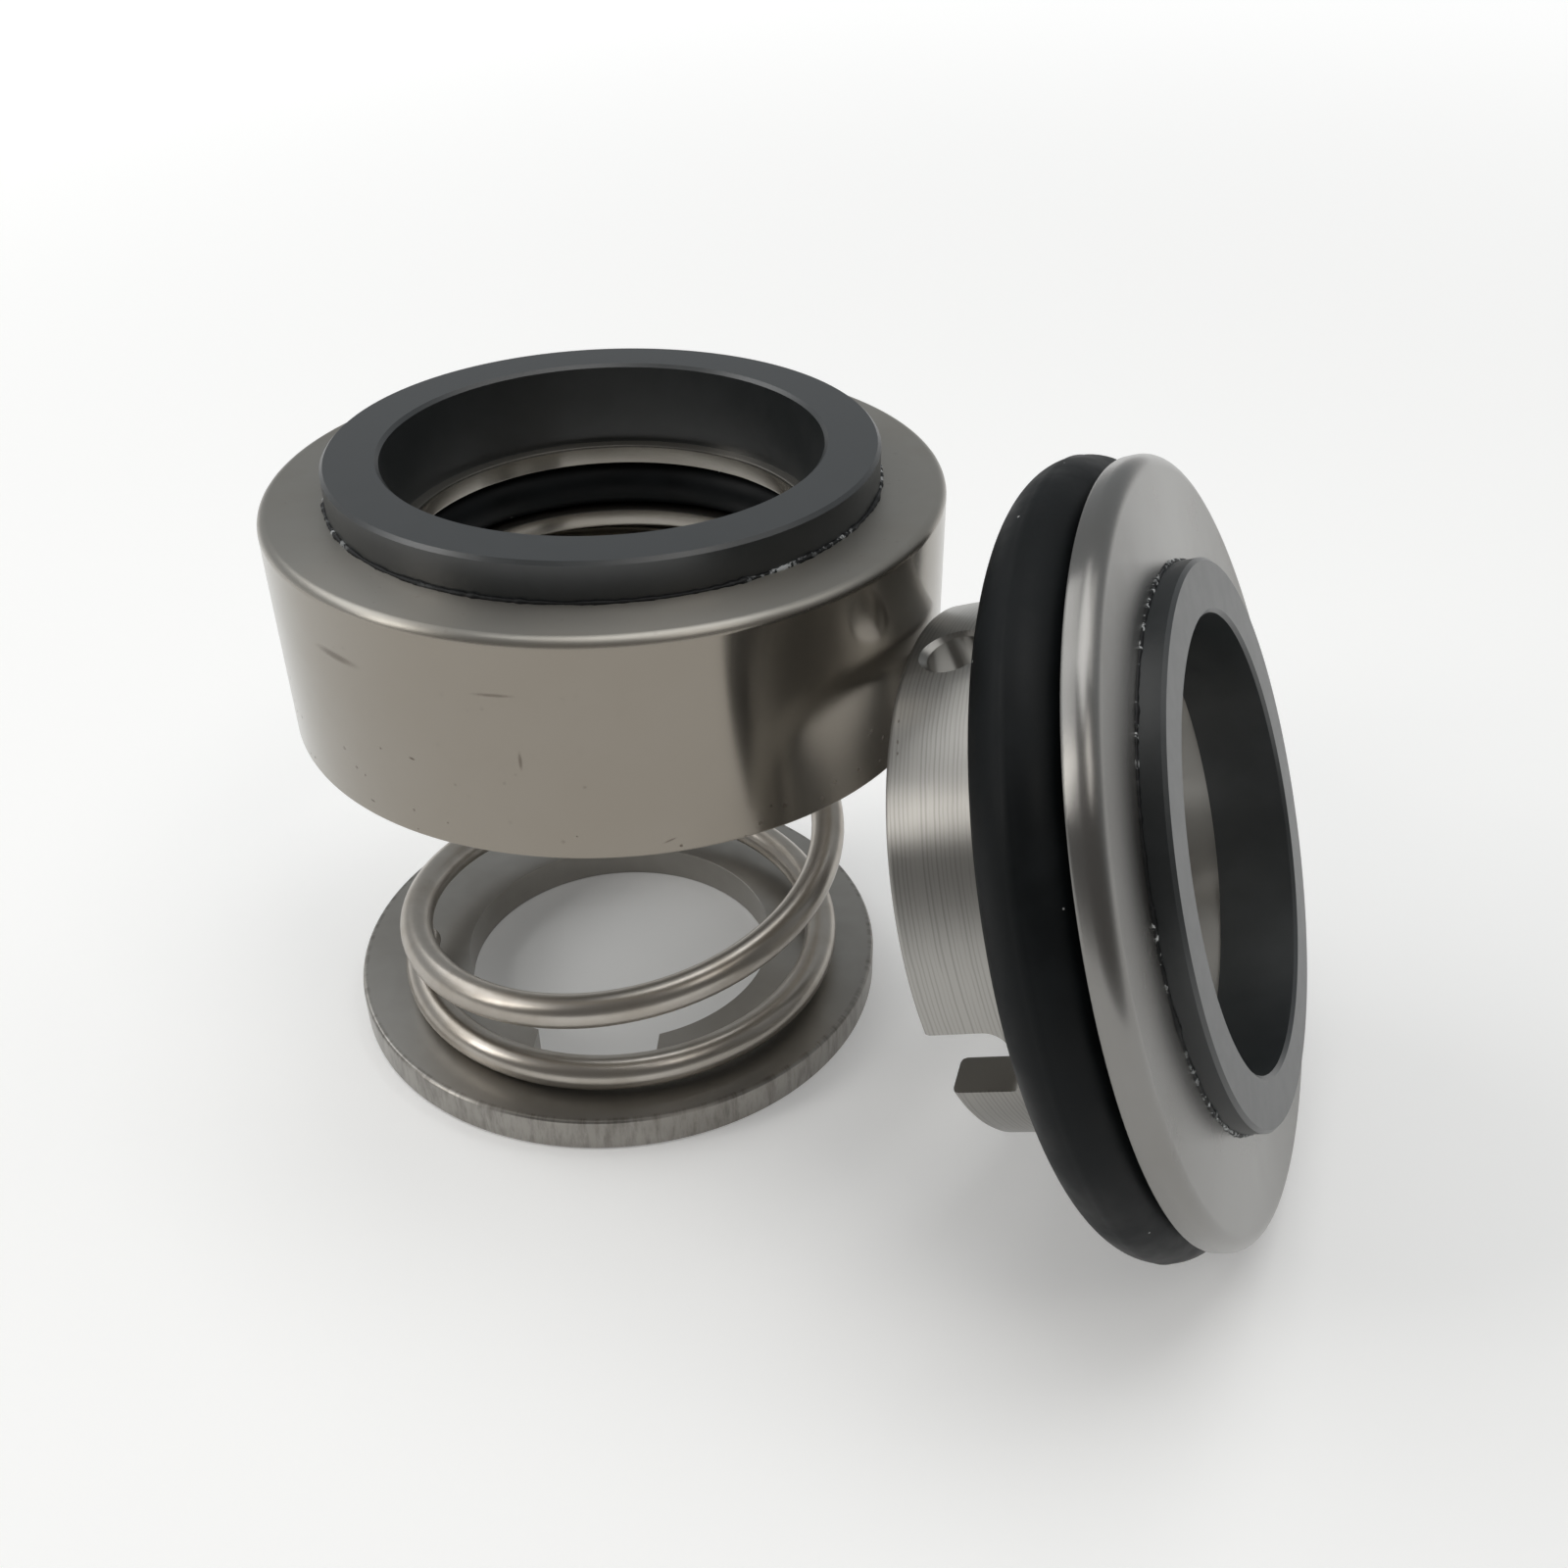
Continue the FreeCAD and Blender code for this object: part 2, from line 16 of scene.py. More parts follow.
import bmesh
import bpy
from mathutils import Matrix, Vector, noise

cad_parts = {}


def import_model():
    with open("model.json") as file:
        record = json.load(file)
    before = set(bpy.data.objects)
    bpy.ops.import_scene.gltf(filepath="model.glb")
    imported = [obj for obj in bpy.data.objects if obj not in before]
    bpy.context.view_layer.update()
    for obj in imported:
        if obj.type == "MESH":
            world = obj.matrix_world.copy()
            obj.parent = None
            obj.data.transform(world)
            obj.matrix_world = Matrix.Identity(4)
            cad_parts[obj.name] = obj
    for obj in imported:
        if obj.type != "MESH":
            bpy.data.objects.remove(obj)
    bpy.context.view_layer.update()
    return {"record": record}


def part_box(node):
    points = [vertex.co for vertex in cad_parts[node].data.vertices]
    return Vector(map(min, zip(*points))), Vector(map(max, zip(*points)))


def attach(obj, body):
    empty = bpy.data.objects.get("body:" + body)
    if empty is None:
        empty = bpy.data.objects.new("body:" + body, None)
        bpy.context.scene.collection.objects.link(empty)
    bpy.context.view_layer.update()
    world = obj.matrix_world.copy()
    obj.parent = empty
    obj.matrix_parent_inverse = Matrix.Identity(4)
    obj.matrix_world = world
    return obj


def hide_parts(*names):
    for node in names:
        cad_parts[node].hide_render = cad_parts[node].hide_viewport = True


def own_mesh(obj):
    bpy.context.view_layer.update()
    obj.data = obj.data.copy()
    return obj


log = logging.getLogger("mechanical_seal")

MM = 0.001  # a millimetre in metres
CLOSE = 1e-3  # millimetres within which places count as the same
WELD = 1e-4  # millimetres within which points are made one
FACE_WEIGHT = 60  # how much large faces count in the shading
UPRIGHT = Vector((0.0, 0.0, 1.0))

Shape = bmesh.types.BMesh
Socket = bpy.types.NodeSocket
Value = Union[float, Sequence[float], Socket]
Owner = Union[bpy.types.Material, bpy.types.World]
Colour = tuple[float, float, float]
Point = tuple[float, float, float]
Span = tuple[float, float]


class Body(Enum):
    """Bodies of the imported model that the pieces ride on."""

    BASE = "base"
    HEAD = "head"


class Slot(Enum):
    """Material slots of the record."""

    HEAD_STEEL = "head_steel"
    RETAINER_STEEL = "retainer_steel"
    SPRING_STEEL = "spring_steel"
    CARRIER_STEEL = "carrier_steel"
    CARBIDE = "carbide"
    RUBBER = "rubber"


@dataclass(frozen=True)
class Corner:
    """One corner of a turned profile.

    A rounding with one segment is a chamfer.
    """

    radius: float
    height: float
    rounding: float = 0.0
    segments: int = 6


@dataclass(frozen=True)
class Turner:
    """Makes round meshes about the vertical axis."""

    steps: int = 256
    parting_share: float = 0.02

    def profile(self, corners: Sequence[Corner]) -> Shape:
        """Turns a closed outline once round and breaks its edges.

        Args:
            corners: corners of the outline, in order.

        Returns:
            The closed mesh, with its faces pointing outwards.
        """
        shape = bmesh.new()
        points = [shape.verts.new((corner.radius, 0.0, corner.height)) for corner in corners]
        outline = [shape.edges.new(pair) for pair in zip(points, points[1:] + points[:1])]
        self._spin(shape, points + outline)
        for corner in corners:
            if corner.rounding > 0.0:
                self._break_edge(shape, corner)
        return shape

    def ring(self, mean_radius: float, section: float, around: int = 48, ridge: float = 0.0) -> Shape:
        """Turns a round section into a ring about the origin.

        Args:
            mean_radius: radius of the ring's centre circle.
            section: diameter of the section.
            around: corners of the section.
            ridge: height of the parting line, outside and inside.

        Returns:
            The closed ring.
        """
        shape = bmesh.new()
        upright = Matrix.Translation((mean_radius, 0.0, 0.0)) @ Matrix.Rotation(math.pi / 2, 4, "X")
        bmesh.ops.create_circle(shape, segments=around, radius=section / 2, matrix=upright)
        for point in shape.verts:
            if abs(point.co.z) < section * self.parting_share:
                point.co.x += math.copysign(ridge, point.co.x - mean_radius)
        self._spin(shape, list(shape.verts) + list(shape.edges))
        return shape

    def _spin(self, shape: Shape, outline: list) -> None:
        """Turns the outline once round and closes the mesh.

        Args:
            shape: mesh that holds the outline.
            outline: its points and edges.
        """
        bmesh.ops.spin(shape, geom=outline, cent=(0.0, 0.0, 0.0), axis=UPRIGHT, angle=math.tau,
                       steps=self.steps, use_merge=True, use_duplicate=False)
        bmesh.ops.remove_doubles(shape, verts=shape.verts, dist=WELD)
        bmesh.ops.recalc_face_normals(shape, faces=shape.faces)

    @staticmethod
    def _break_edge(shape: Shape, corner: Corner) -> None:
        """Rounds or chamfers the round edge at a corner of the profile.

        Args:
            shape: the turned mesh.
            corner: the corner.
        """
        edges = [edge for edge in shape.edges if all(on_corner(point.co, corner) for point in edge.verts)]
        round_off(shape, edges, corner.rounding, corner.segments)


def on_corner(place: Vector, corner: Corner) -> bool:
    """Whether a point is on the circle that a corner turns."""
    return abs(place.z - corner.height) < CLOSE and abs(math.hypot(place.x, place.y) - corner.radius) < CLOSE


def round_off(shape: Shape, edges: list[bmesh.types.BMEdge], size: float, segments: int) -> None:
    """Rounds edges of a mesh."""
    bmesh.ops.bevel(shape, geom=edges, offset=size, offset_type="OFFSET", segments=segments, profile=0.5,
                    affect="EDGES", clamp_overlap=True, material=-1)


def linked(name: str, data: bpy.types.ID) -> bpy.types.Object:
    """Adds an object to the scene.

    Args:
        name: name of the object.
        data: its mesh, light or camera.

    Returns:
        The object.
    """
    item = bpy.data.objects.new(name, data)
    bpy.context.scene.collection.objects.link(item)
    return item


def meshed(name: str, shape: Shape) -> bpy.types.Object:
    """Adds an object made of a shape.

    Args:
        name: name of the object.
        shape: its shape, which is used up.

    Returns:
        The object.
    """
    mesh = bpy.data.meshes.new(name)
    shape.to_mesh(mesh)
    shape.free()
    return linked(name, mesh)


def carved(shape: Shape, cutters: Iterable[Shape]) -> Shape:
    """Cuts closed shapes out of a closed shape.

    Args:
        shape: what is cut; it is used up.
        cutters: what is taken away; they are used up.

    Returns:
        The cut mesh.
    """
    stock = meshed("stock", shape)
    tools = [meshed("cutter", cutter) for cutter in cutters]
    for tool in tools:
        cut = stock.modifiers.new("cut", "BOOLEAN")
        cut.operation = "DIFFERENCE"
        cut.solver = "EXACT"
        cut.object = tool
    evaluated = stock.evaluated_get(bpy.context.evaluated_depsgraph_get())
    result = bmesh.new()
    result.from_mesh(evaluated.to_mesh())
    evaluated.to_mesh_clear()
    for item in [stock, *tools]:
        mesh = item.data
        bpy.data.objects.remove(item)
        bpy.data.meshes.remove(mesh)
    bmesh.ops.remove_doubles(result, verts=result.verts, dist=WELD)
    return result


@dataclass(frozen=True)
class Grain:
    """A cloudy noise: its waves a millimetre, its detail and its roughness."""

    scale: float
    detail: float = 3.0
    rough: float = 0.6


@dataclass(frozen=True)
class Specks:
    """Scattered round specks: cells a millimetre, share of empty cells and radius of the largest speck."""

    scale: float
    empty: float
    reach: float


class Bench:
    """Adds nodes to a material or world and joins them."""

    def __init__(self, owner: Owner, shader: str) -> None:
        """Starts with the owner's own shader.

        Args:
            owner: material or world.
            shader: name of its shader's node.
        """
        owner.use_nodes = True
        self._owner = owner
        self._nodes, self._links = owner.node_tree.nodes, owner.node_tree.links
        self._shader = self._nodes[shader]

    def node(self, kind: str, inputs: dict[Union[int, str], Value], **settings: object) -> bpy.types.Node:
        """Adds a node.

        Args:
            kind: Blender's name of the node.
            inputs: values or sockets by input.
            settings: the node's own settings.

        Returns:
            The node.
        """
        added = self._nodes.new(kind)
        for key, value in settings.items():
            setattr(added, key, value)
        for key, value in inputs.items():
            self.join(value, added.inputs[key])
        return added

    def join(self, value: Value, socket: Socket) -> None:
        """Links a socket to an input, or sets the input's value.

        Args:
            value: what goes in.
            socket: the input.
        """
        if isinstance(value, Socket):
            self._links.new(value, socket)
        else:
            socket.default_value = value

    def sum(self, operation: str, first: Value, second: Value = 0.0, third: Value = 0.0) -> Socket:
        """Works out one sum of numbers."""
        return self.node("ShaderNodeMath", {0: first, 1: second, 2: third}, operation=operation).outputs[0]

    def times(self, *factors: Value) -> Socket:
        """Multiplies numbers, in order."""
        return reduce(lambda product, factor: self.sum("MULTIPLY", product, factor), factors)

    def vector(self, x: Value, y: Value, z: Value) -> Socket:
        """Makes a vector of three numbers."""
        return self.node("ShaderNodeCombineXYZ", {0: x, 1: y, 2: z}).outputs[0]

    def noise(self, where: Value, grain: Grain) -> Socket:
        """Cloudy noise between 0 and 1."""
        inputs = {"Vector": where, "Scale": grain.scale, "Detail": grain.detail, "Roughness": grain.rough}
        return self.node("ShaderNodeTexNoise", inputs).outputs[0]

    def specks(self, where: Value, specks: Specks) -> Socket:
        """Scattered specks of random size.

        Args:
            where: place on the piece, in millimetres.
            specks: how they are scattered.

        Returns:
            1 in a speck and 0 beside it.
        """
        cells = self.node("ShaderNodeTexVoronoi", {"Vector": where, "Scale": specks.scale}).outputs
        chance = self.node("ShaderNodeSeparateColor", {0: cells["Color"]}).outputs[0]
        return self.sum("LESS_THAN", cells["Distance"], self.ramp(chance, specks.empty, 1.0, 0.0, specks.reach))

    def ramp(self, value: Value, low: float, high: float, start: Value = 0.0, end: Value = 1.0) -> Socket:
        """Eases from start to end while the value goes from low to high."""
        inputs = {0: value, 1: low, 2: high, 3: start, 4: end}
        return self.node("ShaderNodeMapRange", inputs, interpolation_type="SMOOTHSTEP").outputs[0]

    def blend(self, share: Value, first: Value, second: Value) -> Socket:
        """Blends two colours."""
        return self.node("ShaderNodeMix", {0: share, 6: first, 7: second}, data_type="RGBA").outputs[2]

    def bump(self, height: Value, depth: float, **under: Value) -> Socket:
        """Turns a height from 0 to 1 into a normal, with the depth in millimetres and any Normal under it."""
        inputs = {"Height": height, "Distance": depth * MM, "Strength": 1.0, **under}
        return self.node("ShaderNodeBump", inputs).outputs[0]

    def finish(self, **inputs: Value) -> Owner:
        """Sets the shader's inputs.

        Args:
            inputs: values or sockets, by the inputs' names with underscores.

        Returns:
            The material or world.
        """
        for key, value in inputs.items():
            self.join(value, self._shader.inputs[key.replace("_", " ")])
        return self._owner


def opaque(colour: Colour) -> tuple[float, float, float, float]:
    """The colour with full alpha."""
    return (*colour, 1.0)


class PieceBench(Bench):
    """A bench for a piece's material, with places on the piece in its own millimetres for patterns to read."""

    def __init__(self, name: str, place: Matrix) -> None:
        """Turns object coordinates into the piece's own millimetres.

        Args:
            name: name of the material.
            place: from the piece's own millimetres to the frame's metres.
        """
        super().__init__(bpy.data.materials.new(name), "Principled BSDF")
        turn = place.to_quaternion()
        back = turn.inverted()
        shift = -(back @ place.to_translation()) / MM
        given = self.node("ShaderNodeTexCoord", {}).outputs["Object"]
        inputs = {"Vector": given, "Location": shift, "Rotation": back.to_euler(), "Scale": (1 / MM, 1 / MM, 1 / MM)}
        self.where = self.node("ShaderNodeMapping", inputs).outputs[0]
        x, y, self.height = self.node("ShaderNodeSeparateXYZ", {0: self.where}).outputs
        self.radius = self.sum("SQRT", self.sum("MULTIPLY_ADD", x, x, self.times(y, y)))
        self.angle = self.sum("ARCTAN2", y, x)
        inputs = {"Vector": self.vector(self.times(y, -1.0), x, 0.0), "Rotation": turn.to_euler()}
        self.tangent = self.node("ShaderNodeMapping", inputs, vector_type="VECTOR").outputs[0]


class Finish(ABC):
    """A finish that a piece can be given."""

    slot: Slot

    @abstractmethod
    def material(self, place: Matrix) -> bpy.types.Material:
        """Makes the material of a piece that the matrix puts in place."""


@dataclass(frozen=True)
class Look:
    """How a steel looks so far, and the clouds that vary it."""

    colour: Socket
    rough: Socket
    normal: Socket
    clouds: Socket


class Wear(ABC):
    """Something that changes how a steel looks in places."""

    @abstractmethod
    def added(self, bench: PieceBench, look: Look) -> Look:
        """Adds the wear to the look."""


@dataclass(frozen=True)
class PaintedWarmShade(Wear):
    """Painted shade: one side darker and warmer, up to the face, where less light falls on it."""

    colour: Colour
    share: float
    fade: Span
    side: float = -75.0
    around: Span = (-0.1, 1.0)

    def added(self, bench: PieceBench, look: Look) -> Look:
        """Blends the painted shade in.

        Args:
            bench: the material's bench.
            look: how it looks so far.

        Returns:
            How it looks with the tone.
        """
        # painted shade: the colour turns darker and warmer towards the given side and fades out below the face
        turned = bench.sum("COSINE", bench.sum("SUBTRACT", bench.angle, math.radians(self.side)))
        share = bench.times(bench.ramp(turned, *self.around), bench.ramp(bench.height, *self.fade, self.share, 0.0))
        return replace(look, colour=bench.blend(share, look.colour, opaque(self.colour)))


@dataclass(frozen=True)
class RimStreaksAndPaintedShade(Wear):
    """Dark upright streaks on a rim, strong enough to paint the rim's shade as well."""

    radius: float
    strength: float
    colour: Colour = (0.1, 0.09, 0.08)
    rim: Span = (-0.2, 0.1)
    waves: float = 26.0
    stretch: float = 0.2
    grain: Grain = Grain(1.0, 4.0, 0.7)
    dark: Span = (0.4, 0.7)

    def added(self, bench: PieceBench, look: Look) -> Look:
        """Darkens the rim in streaks, which also paint its shade.

        Args:
            bench: the material's bench.
            look: how it looks so far.

        Returns:
            How it looks with the streaks.
        """
        across = bench.vector(bench.times(bench.angle, self.waves), 0.0, bench.times(bench.height, self.stretch))
        streak = bench.ramp(bench.noise(across, self.grain), *self.dark)
        inner, outer = self.rim
        share = bench.times(bench.ramp(bench.radius, self.radius + inner, self.radius + outer), self.strength, streak)
        return replace(look, colour=bench.blend(share, look.colour, opaque(self.colour)))


@dataclass(frozen=True)
class FeedLinesAndPaintedLight(Wear):
    """Lines that a tool's feed leaves on a sleeve, with painted light and shade: the wall is painted lighter for the
    bright reflections it shows, and the furrows on its outside are painted darker as their shade.
    """

    between: Span
    pitch: float = 0.36
    depth: float = 0.004
    rougher: float = 0.08
    # painted light: the wall's lighter colour stands for its bright reflections
    colour: Colour = (0.38, 0.37, 0.348)
    # painted shade in the furrows
    painted_furrow_shade: Colour = (0.14, 0.135, 0.125)
    furrow_share: float = 0.34
    furrow_span: Span = (0.45, 0.85)
    blend: float = 0.1
    skin: Span = (-0.4, -0.3)
    wave: float = 0.22
    wander: float = 9.0
    uneven: Grain = Grain(1.0, 1.0, 0.4)
    uneven_up: float = 1.6
    uneven_round: float = 0.7

    def added(self, bench: PieceBench, look: Look) -> Look:
        """Paints the wall lighter, cuts the furrows and paints shade into them.

        Args:
            bench: the material's bench.
            look: how it looks so far.

        Returns:
            How it looks with the lines.
        """
        low, high = self.between
        wall = bench.times(bench.ramp(bench.radius, low - self.blend, low + self.blend),
                           bench.ramp(bench.radius, high - self.blend, high + self.blend, 1.0, 0.0))
        outside = bench.times(wall, bench.ramp(bench.radius, *(high + edge for edge in self.skin)))
        drawn = bench.vector(0.0, bench.times(bench.height, self.uneven_up / self.pitch),
                             bench.times(bench.angle, self.uneven_round))
        turn = bench.sum("MULTIPLY_ADD", bench.height, math.tau / self.pitch, bench.times(look.clouds, self.wander))
        cut = bench.sum("MULTIPLY_ADD", bench.sum("SINE", turn), self.wave, bench.noise(drawn, self.uneven))
        furrows = bench.times(outside, self.furrow_share, bench.ramp(cut, *self.furrow_span))
        # painted light on the wall, then painted shade in the furrows
        light = bench.blend(wall, look.colour, opaque(self.colour))
        return replace(look, colour=bench.blend(furrows, light, opaque(self.painted_furrow_shade)),
                       rough=bench.sum("MULTIPLY_ADD", wall, self.rougher, look.rough),
                       normal=bench.bump(bench.times(cut, outside), self.depth, Normal=look.normal))


@dataclass(frozen=True)
class Mark:
    """A scratch on a turned side: its middle, half length, half width, lean and strength."""

    angle: float
    height: float
    length: float
    width: float
    lean: float = 0.0
    strength: float = 0.5
    fade: Span = (0.2, 1.1)

    def spot(self, bench: PieceBench) -> Socket:
        """Where the mark is.

        Args:
            bench: the material's bench.

        Returns:
            The mark's strength in its middle, and 0 beside it.
        """
        along = bench.times(bench.sum("SUBTRACT", bench.angle, math.radians(self.angle)), bench.radius)
        up = bench.sum("SUBTRACT", bench.height, self.height)
        cosine, sine = math.cos(math.radians(self.lean)), math.sin(math.radians(self.lean))
        length = bench.sum("MULTIPLY_ADD", along, cosine, bench.times(up, sine))
        width = bench.sum("MULTIPLY_ADD", up, cosine, bench.times(along, -sine))
        squares = [bench.sum("POWER", bench.sum("ABSOLUTE", bench.sum("DIVIDE", part, half)), 2.0)
                   for part, half in ((length, self.length), (width, self.width))]
        return bench.ramp(bench.sum("SQRT", bench.sum("ADD", *squares)), *self.fade, self.strength, 0.0)


@dataclass(frozen=True)
class Pits:
    """Small pits in patches, most of them below a height."""

    strength: float
    below: float
    above_share: float = 0.12
    specks: Specks = Specks(1.0, 0.5, 0.2)
    patches: Grain = Grain(0.16, 1.0, 0.5)
    patch_span: Span = (0.4, 0.56)

    def spot(self, bench: PieceBench) -> Socket:
        """Where the pits are.

        Args:
            bench: the material's bench.

        Returns:
            The strength of a pit, and 0 beside it.
        """
        low = bench.ramp(bench.height, 0.0, self.below, 1.0, self.above_share)
        patch = bench.ramp(bench.noise(bench.where, self.patches), *self.patch_span)
        return bench.times(bench.specks(bench.where, self.specks), low, bench.times(patch, self.strength))


@dataclass(frozen=True)
class Damage(Wear):
    """Dark, dull scratches and pits."""

    spots: tuple[Union[Mark, Pits], ...]
    colour: Colour = (0.07, 0.05, 0.035)
    rougher: float = 0.35

    def added(self, bench: PieceBench, look: Look) -> Look:
        """Darkens and dulls the spots."""
        share = reduce(lambda total, spot: bench.sum("MAXIMUM", total, spot),
                       [spot.spot(bench) for spot in self.spots])
        return replace(look, colour=bench.blend(share, look.colour, opaque(self.colour)),
                       rough=bench.sum("MULTIPLY_ADD", share, self.rougher, look.rough))


@dataclass(frozen=True)
class TurnedSteel(Finish):
    """Stainless steel with the fine circular lines that turning leaves, and its wear."""

    name: str
    slot: Slot
    colour: Colour
    shade: Colour
    roughness: float
    face_roughness: float
    lines: Grain
    line_depth: float
    anisotropy: float
    face_from: float = 100.0
    face_blend: float = 0.7
    metal: float = 0.92
    wear: tuple[Wear, ...] = ()
    clouds: Grain = Grain(0.11)
    cloud_span: Span = (0.3, 0.75)
    cloud_rough: Span = (0.95, 1.08)
    grain: Grain = Grain(2.4, 2.0)
    grain_share: float = 0.08
    round_scale: float = 0.6
    across_tangent: float = 0.25

    def material(self, place: Matrix) -> bpy.types.Material:
        """Circular lines and cloudy stains about the piece's own axis.

        Args:
            place: from the piece's own millimetres to the frame's metres.

        Returns:
            The material.
        """
        bench = PieceBench(self.name, place)
        clouds = bench.noise(bench.where, self.clouds)
        across = bench.vector(bench.radius, bench.height, bench.times(bench.angle, self.round_scale))
        height = bench.sum("MULTIPLY_ADD", bench.noise(across, self.lines), 1.0 - self.grain_share,
                           bench.times(bench.noise(bench.where, self.grain), self.grain_share))
        face = bench.ramp(bench.height, self.face_from - self.face_blend, self.face_from,
                          self.roughness, self.face_roughness)
        look = Look(
            bench.blend(bench.ramp(clouds, *self.cloud_span), opaque(self.colour), opaque(self.shade)),
            bench.times(face, bench.ramp(clouds, *self.cloud_span, *self.cloud_rough)),
            bench.bump(height, self.line_depth),
            clouds,
        )
        for wear in self.wear:
            look = wear.added(bench, look)
        return bench.finish(Base_Color=look.colour, Metallic=self.metal, Roughness=look.rough, Normal=look.normal,
                            Anisotropic=self.anisotropy, Anisotropic_Rotation=self.across_tangent,
                            Tangent=bench.tangent)


@dataclass(frozen=True)
class Mottled(Finish):
    """A cloudy surface with a fine grain."""

    name: str
    slot: Slot
    colour: Colour
    shade: Colour
    roughness: float
    uneven: Span
    clouds: Grain
    grain: Grain
    grain_depth: float
    tone_span: Span = (0.3, 0.7)
    rough_span: Span = (0.3, 0.7)
    metal: float = 0.0
    specular: float = 0.5
    refraction: float = 1.5

    def material(self, place: Matrix) -> bpy.types.Material:
        """Cloudy tone and roughness over a fine grain.

        Args:
            place: from the piece's own millimetres to the frame's metres.

        Returns:
            The material.
        """
        bench = PieceBench(self.name, place)
        clouds = bench.noise(bench.where, self.clouds)
        tone = bench.blend(bench.ramp(clouds, *self.tone_span), opaque(self.colour), opaque(self.shade))
        rough = bench.ramp(clouds, *self.rough_span, *(self.roughness * share for share in self.uneven))
        return bench.finish(Base_Color=self._covered(bench, tone), Metallic=self.metal, Roughness=rough,
                            Specular_IOR_Level=self.specular, IOR=self.refraction,
                            Normal=bench.bump(bench.noise(bench.where, self.grain), self.grain_depth))

    def _covered(self, bench: PieceBench, tone: Socket) -> Socket:
        """The tone with what lies on it, which is nothing here."""
        return tone


CARBIDE = Mottled("lapped_carbide", Slot.CARBIDE, (0.016, 0.019, 0.02), (0.019, 0.022, 0.0235), roughness=0.34,
                  uneven=(0.96, 1.05), clouds=Grain(0.5, 4.0, 0.65), grain=Grain(9.0, 3.0, 0.7),
                  grain_depth=0.0004, refraction=1.74)


@dataclass(frozen=True)
class BlackRubber(Mottled):
    """Moulded black rubber with a few white specks of dust."""

    name: str = "moulded_rubber"
    slot: Slot = Slot.RUBBER
    colour: Colour = (0.0035, 0.0045, 0.005)
    shade: Colour = (0.006, 0.0075, 0.0085)
    roughness: float = 0.5
    uneven: Span = (0.85, 1.2)
    clouds: Grain = Grain(0.16, 4.0)
    grain: Grain = Grain(5.0, 3.0, 0.7)
    grain_depth: float = 0.002
    tone_span: Span = (0.35, 0.7)
    specular: float = 0.15
    dust: Colour = (0.45, 0.46, 0.46)
    dust_share: float = 0.8
    specks: Specks = Specks(0.55, 0.7, 0.06)

    def _covered(self, bench: PieceBench, tone: Socket) -> Socket:
        """The tone with dust on it."""
        share = bench.times(bench.specks(bench.where, self.specks), self.dust_share)
        return bench.blend(share, tone, opaque(self.dust))


@dataclass(frozen=True)
class BondAdhesive(Finish):
    """Dark adhesive that has squeezed out round a face ring, pale in places."""

    name: str = "bond_adhesive"
    slot: Slot = Slot.CARBIDE
    colour: Colour = (0.004, 0.0045, 0.005)
    pale: Colour = (0.6, 0.62, 0.62)
    pale_share: float = 0.62
    pale_from: float = -1.0
    pale_blend: float = 0.25
    fleck_fade: Span = (-0.04, 0.03)
    flecks: Grain = Grain(1.1, 3.0, 0.7)
    patches: Grain = Grain(0.12, 1.0, 0.5)
    patch_span: Span = (0.36, 0.52)
    roughness: float = 0.5
    specular: float = 0.3
    depth: float = 0.04

    def material(self, place: Matrix) -> bpy.types.Material:
        """Black, with pale flecks where the noise is high, at the sides of the ring.

        Args:
            place: from the piece's own millimetres to the frame's metres.

        Returns:
            The material.
        """
        bench = PieceBench(self.name, place)
        flecks = bench.noise(bench.where, self.flecks)
        side = bench.sum("ABSOLUTE", bench.sum("COSINE", bench.angle))
        share = bench.times(bench.ramp(flecks, *(self.pale_share + edge for edge in self.fleck_fade)),
                            bench.ramp(bench.noise(bench.where, self.patches), *self.patch_span),
                            bench.ramp(side, self.pale_from, self.pale_from + self.pale_blend))
        return bench.finish(Base_Color=bench.blend(share, opaque(self.colour), opaque(self.pale)),
                            Roughness=self.roughness, Specular_IOR_Level=self.specular,
                            Normal=bench.bump(flecks, self.depth))


def fit(name: str, shape: Shape, place: Matrix, body: Body, finish: Finish, replaced: Sequence[str] = (),
        sharp_from: float = 28.0) -> bpy.types.Object:
    """Makes a smooth piece of a shape, gives it its finish and its body, and hides the nodes that it stands for.

    Args:
        name: name of the piece.
        shape: its shape in millimetres, which is used up.
        place: from its own millimetres to the frame's metres.
        body: body that it rides on.
        finish: its finish.
        replaced: nodes that it stands for.
        sharp_from: edges that turn more than this, in degrees, stay sharp.

    Returns:
        The piece.
    """
    bmesh.ops.transform(shape, matrix=place, verts=shape.verts)
    piece = meshed(name, shape)
    piece.data.polygons.foreach_set("use_smooth", [True] * len(piece.data.polygons))
    piece.data.set_sharp_from_angle(angle=math.radians(sharp_from))
    weighted = piece.modifiers.new("weighted_normals", "WEIGHTED_NORMAL")
    weighted.keep_sharp = True
    weighted.weight = FACE_WEIGHT
    piece.data.materials.append(finish.material(place))
    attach(piece, body.value)
    if replaced:
        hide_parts(*replaced)
    log.info("%s: %d faces, on %s", piece.name, len(piece.data.polygons), body.value)
    return piece


def ring_outline(bore: float, radius: float, base: float, top: float, chamfer: float) -> list[Corner]:
    """Outline of a face ring with its two front edges chamfered."""
    return [Corner(bore, base), Corner(radius, base), Corner(radius, top, chamfer, 1), Corner(bore, top, chamfer, 1)]


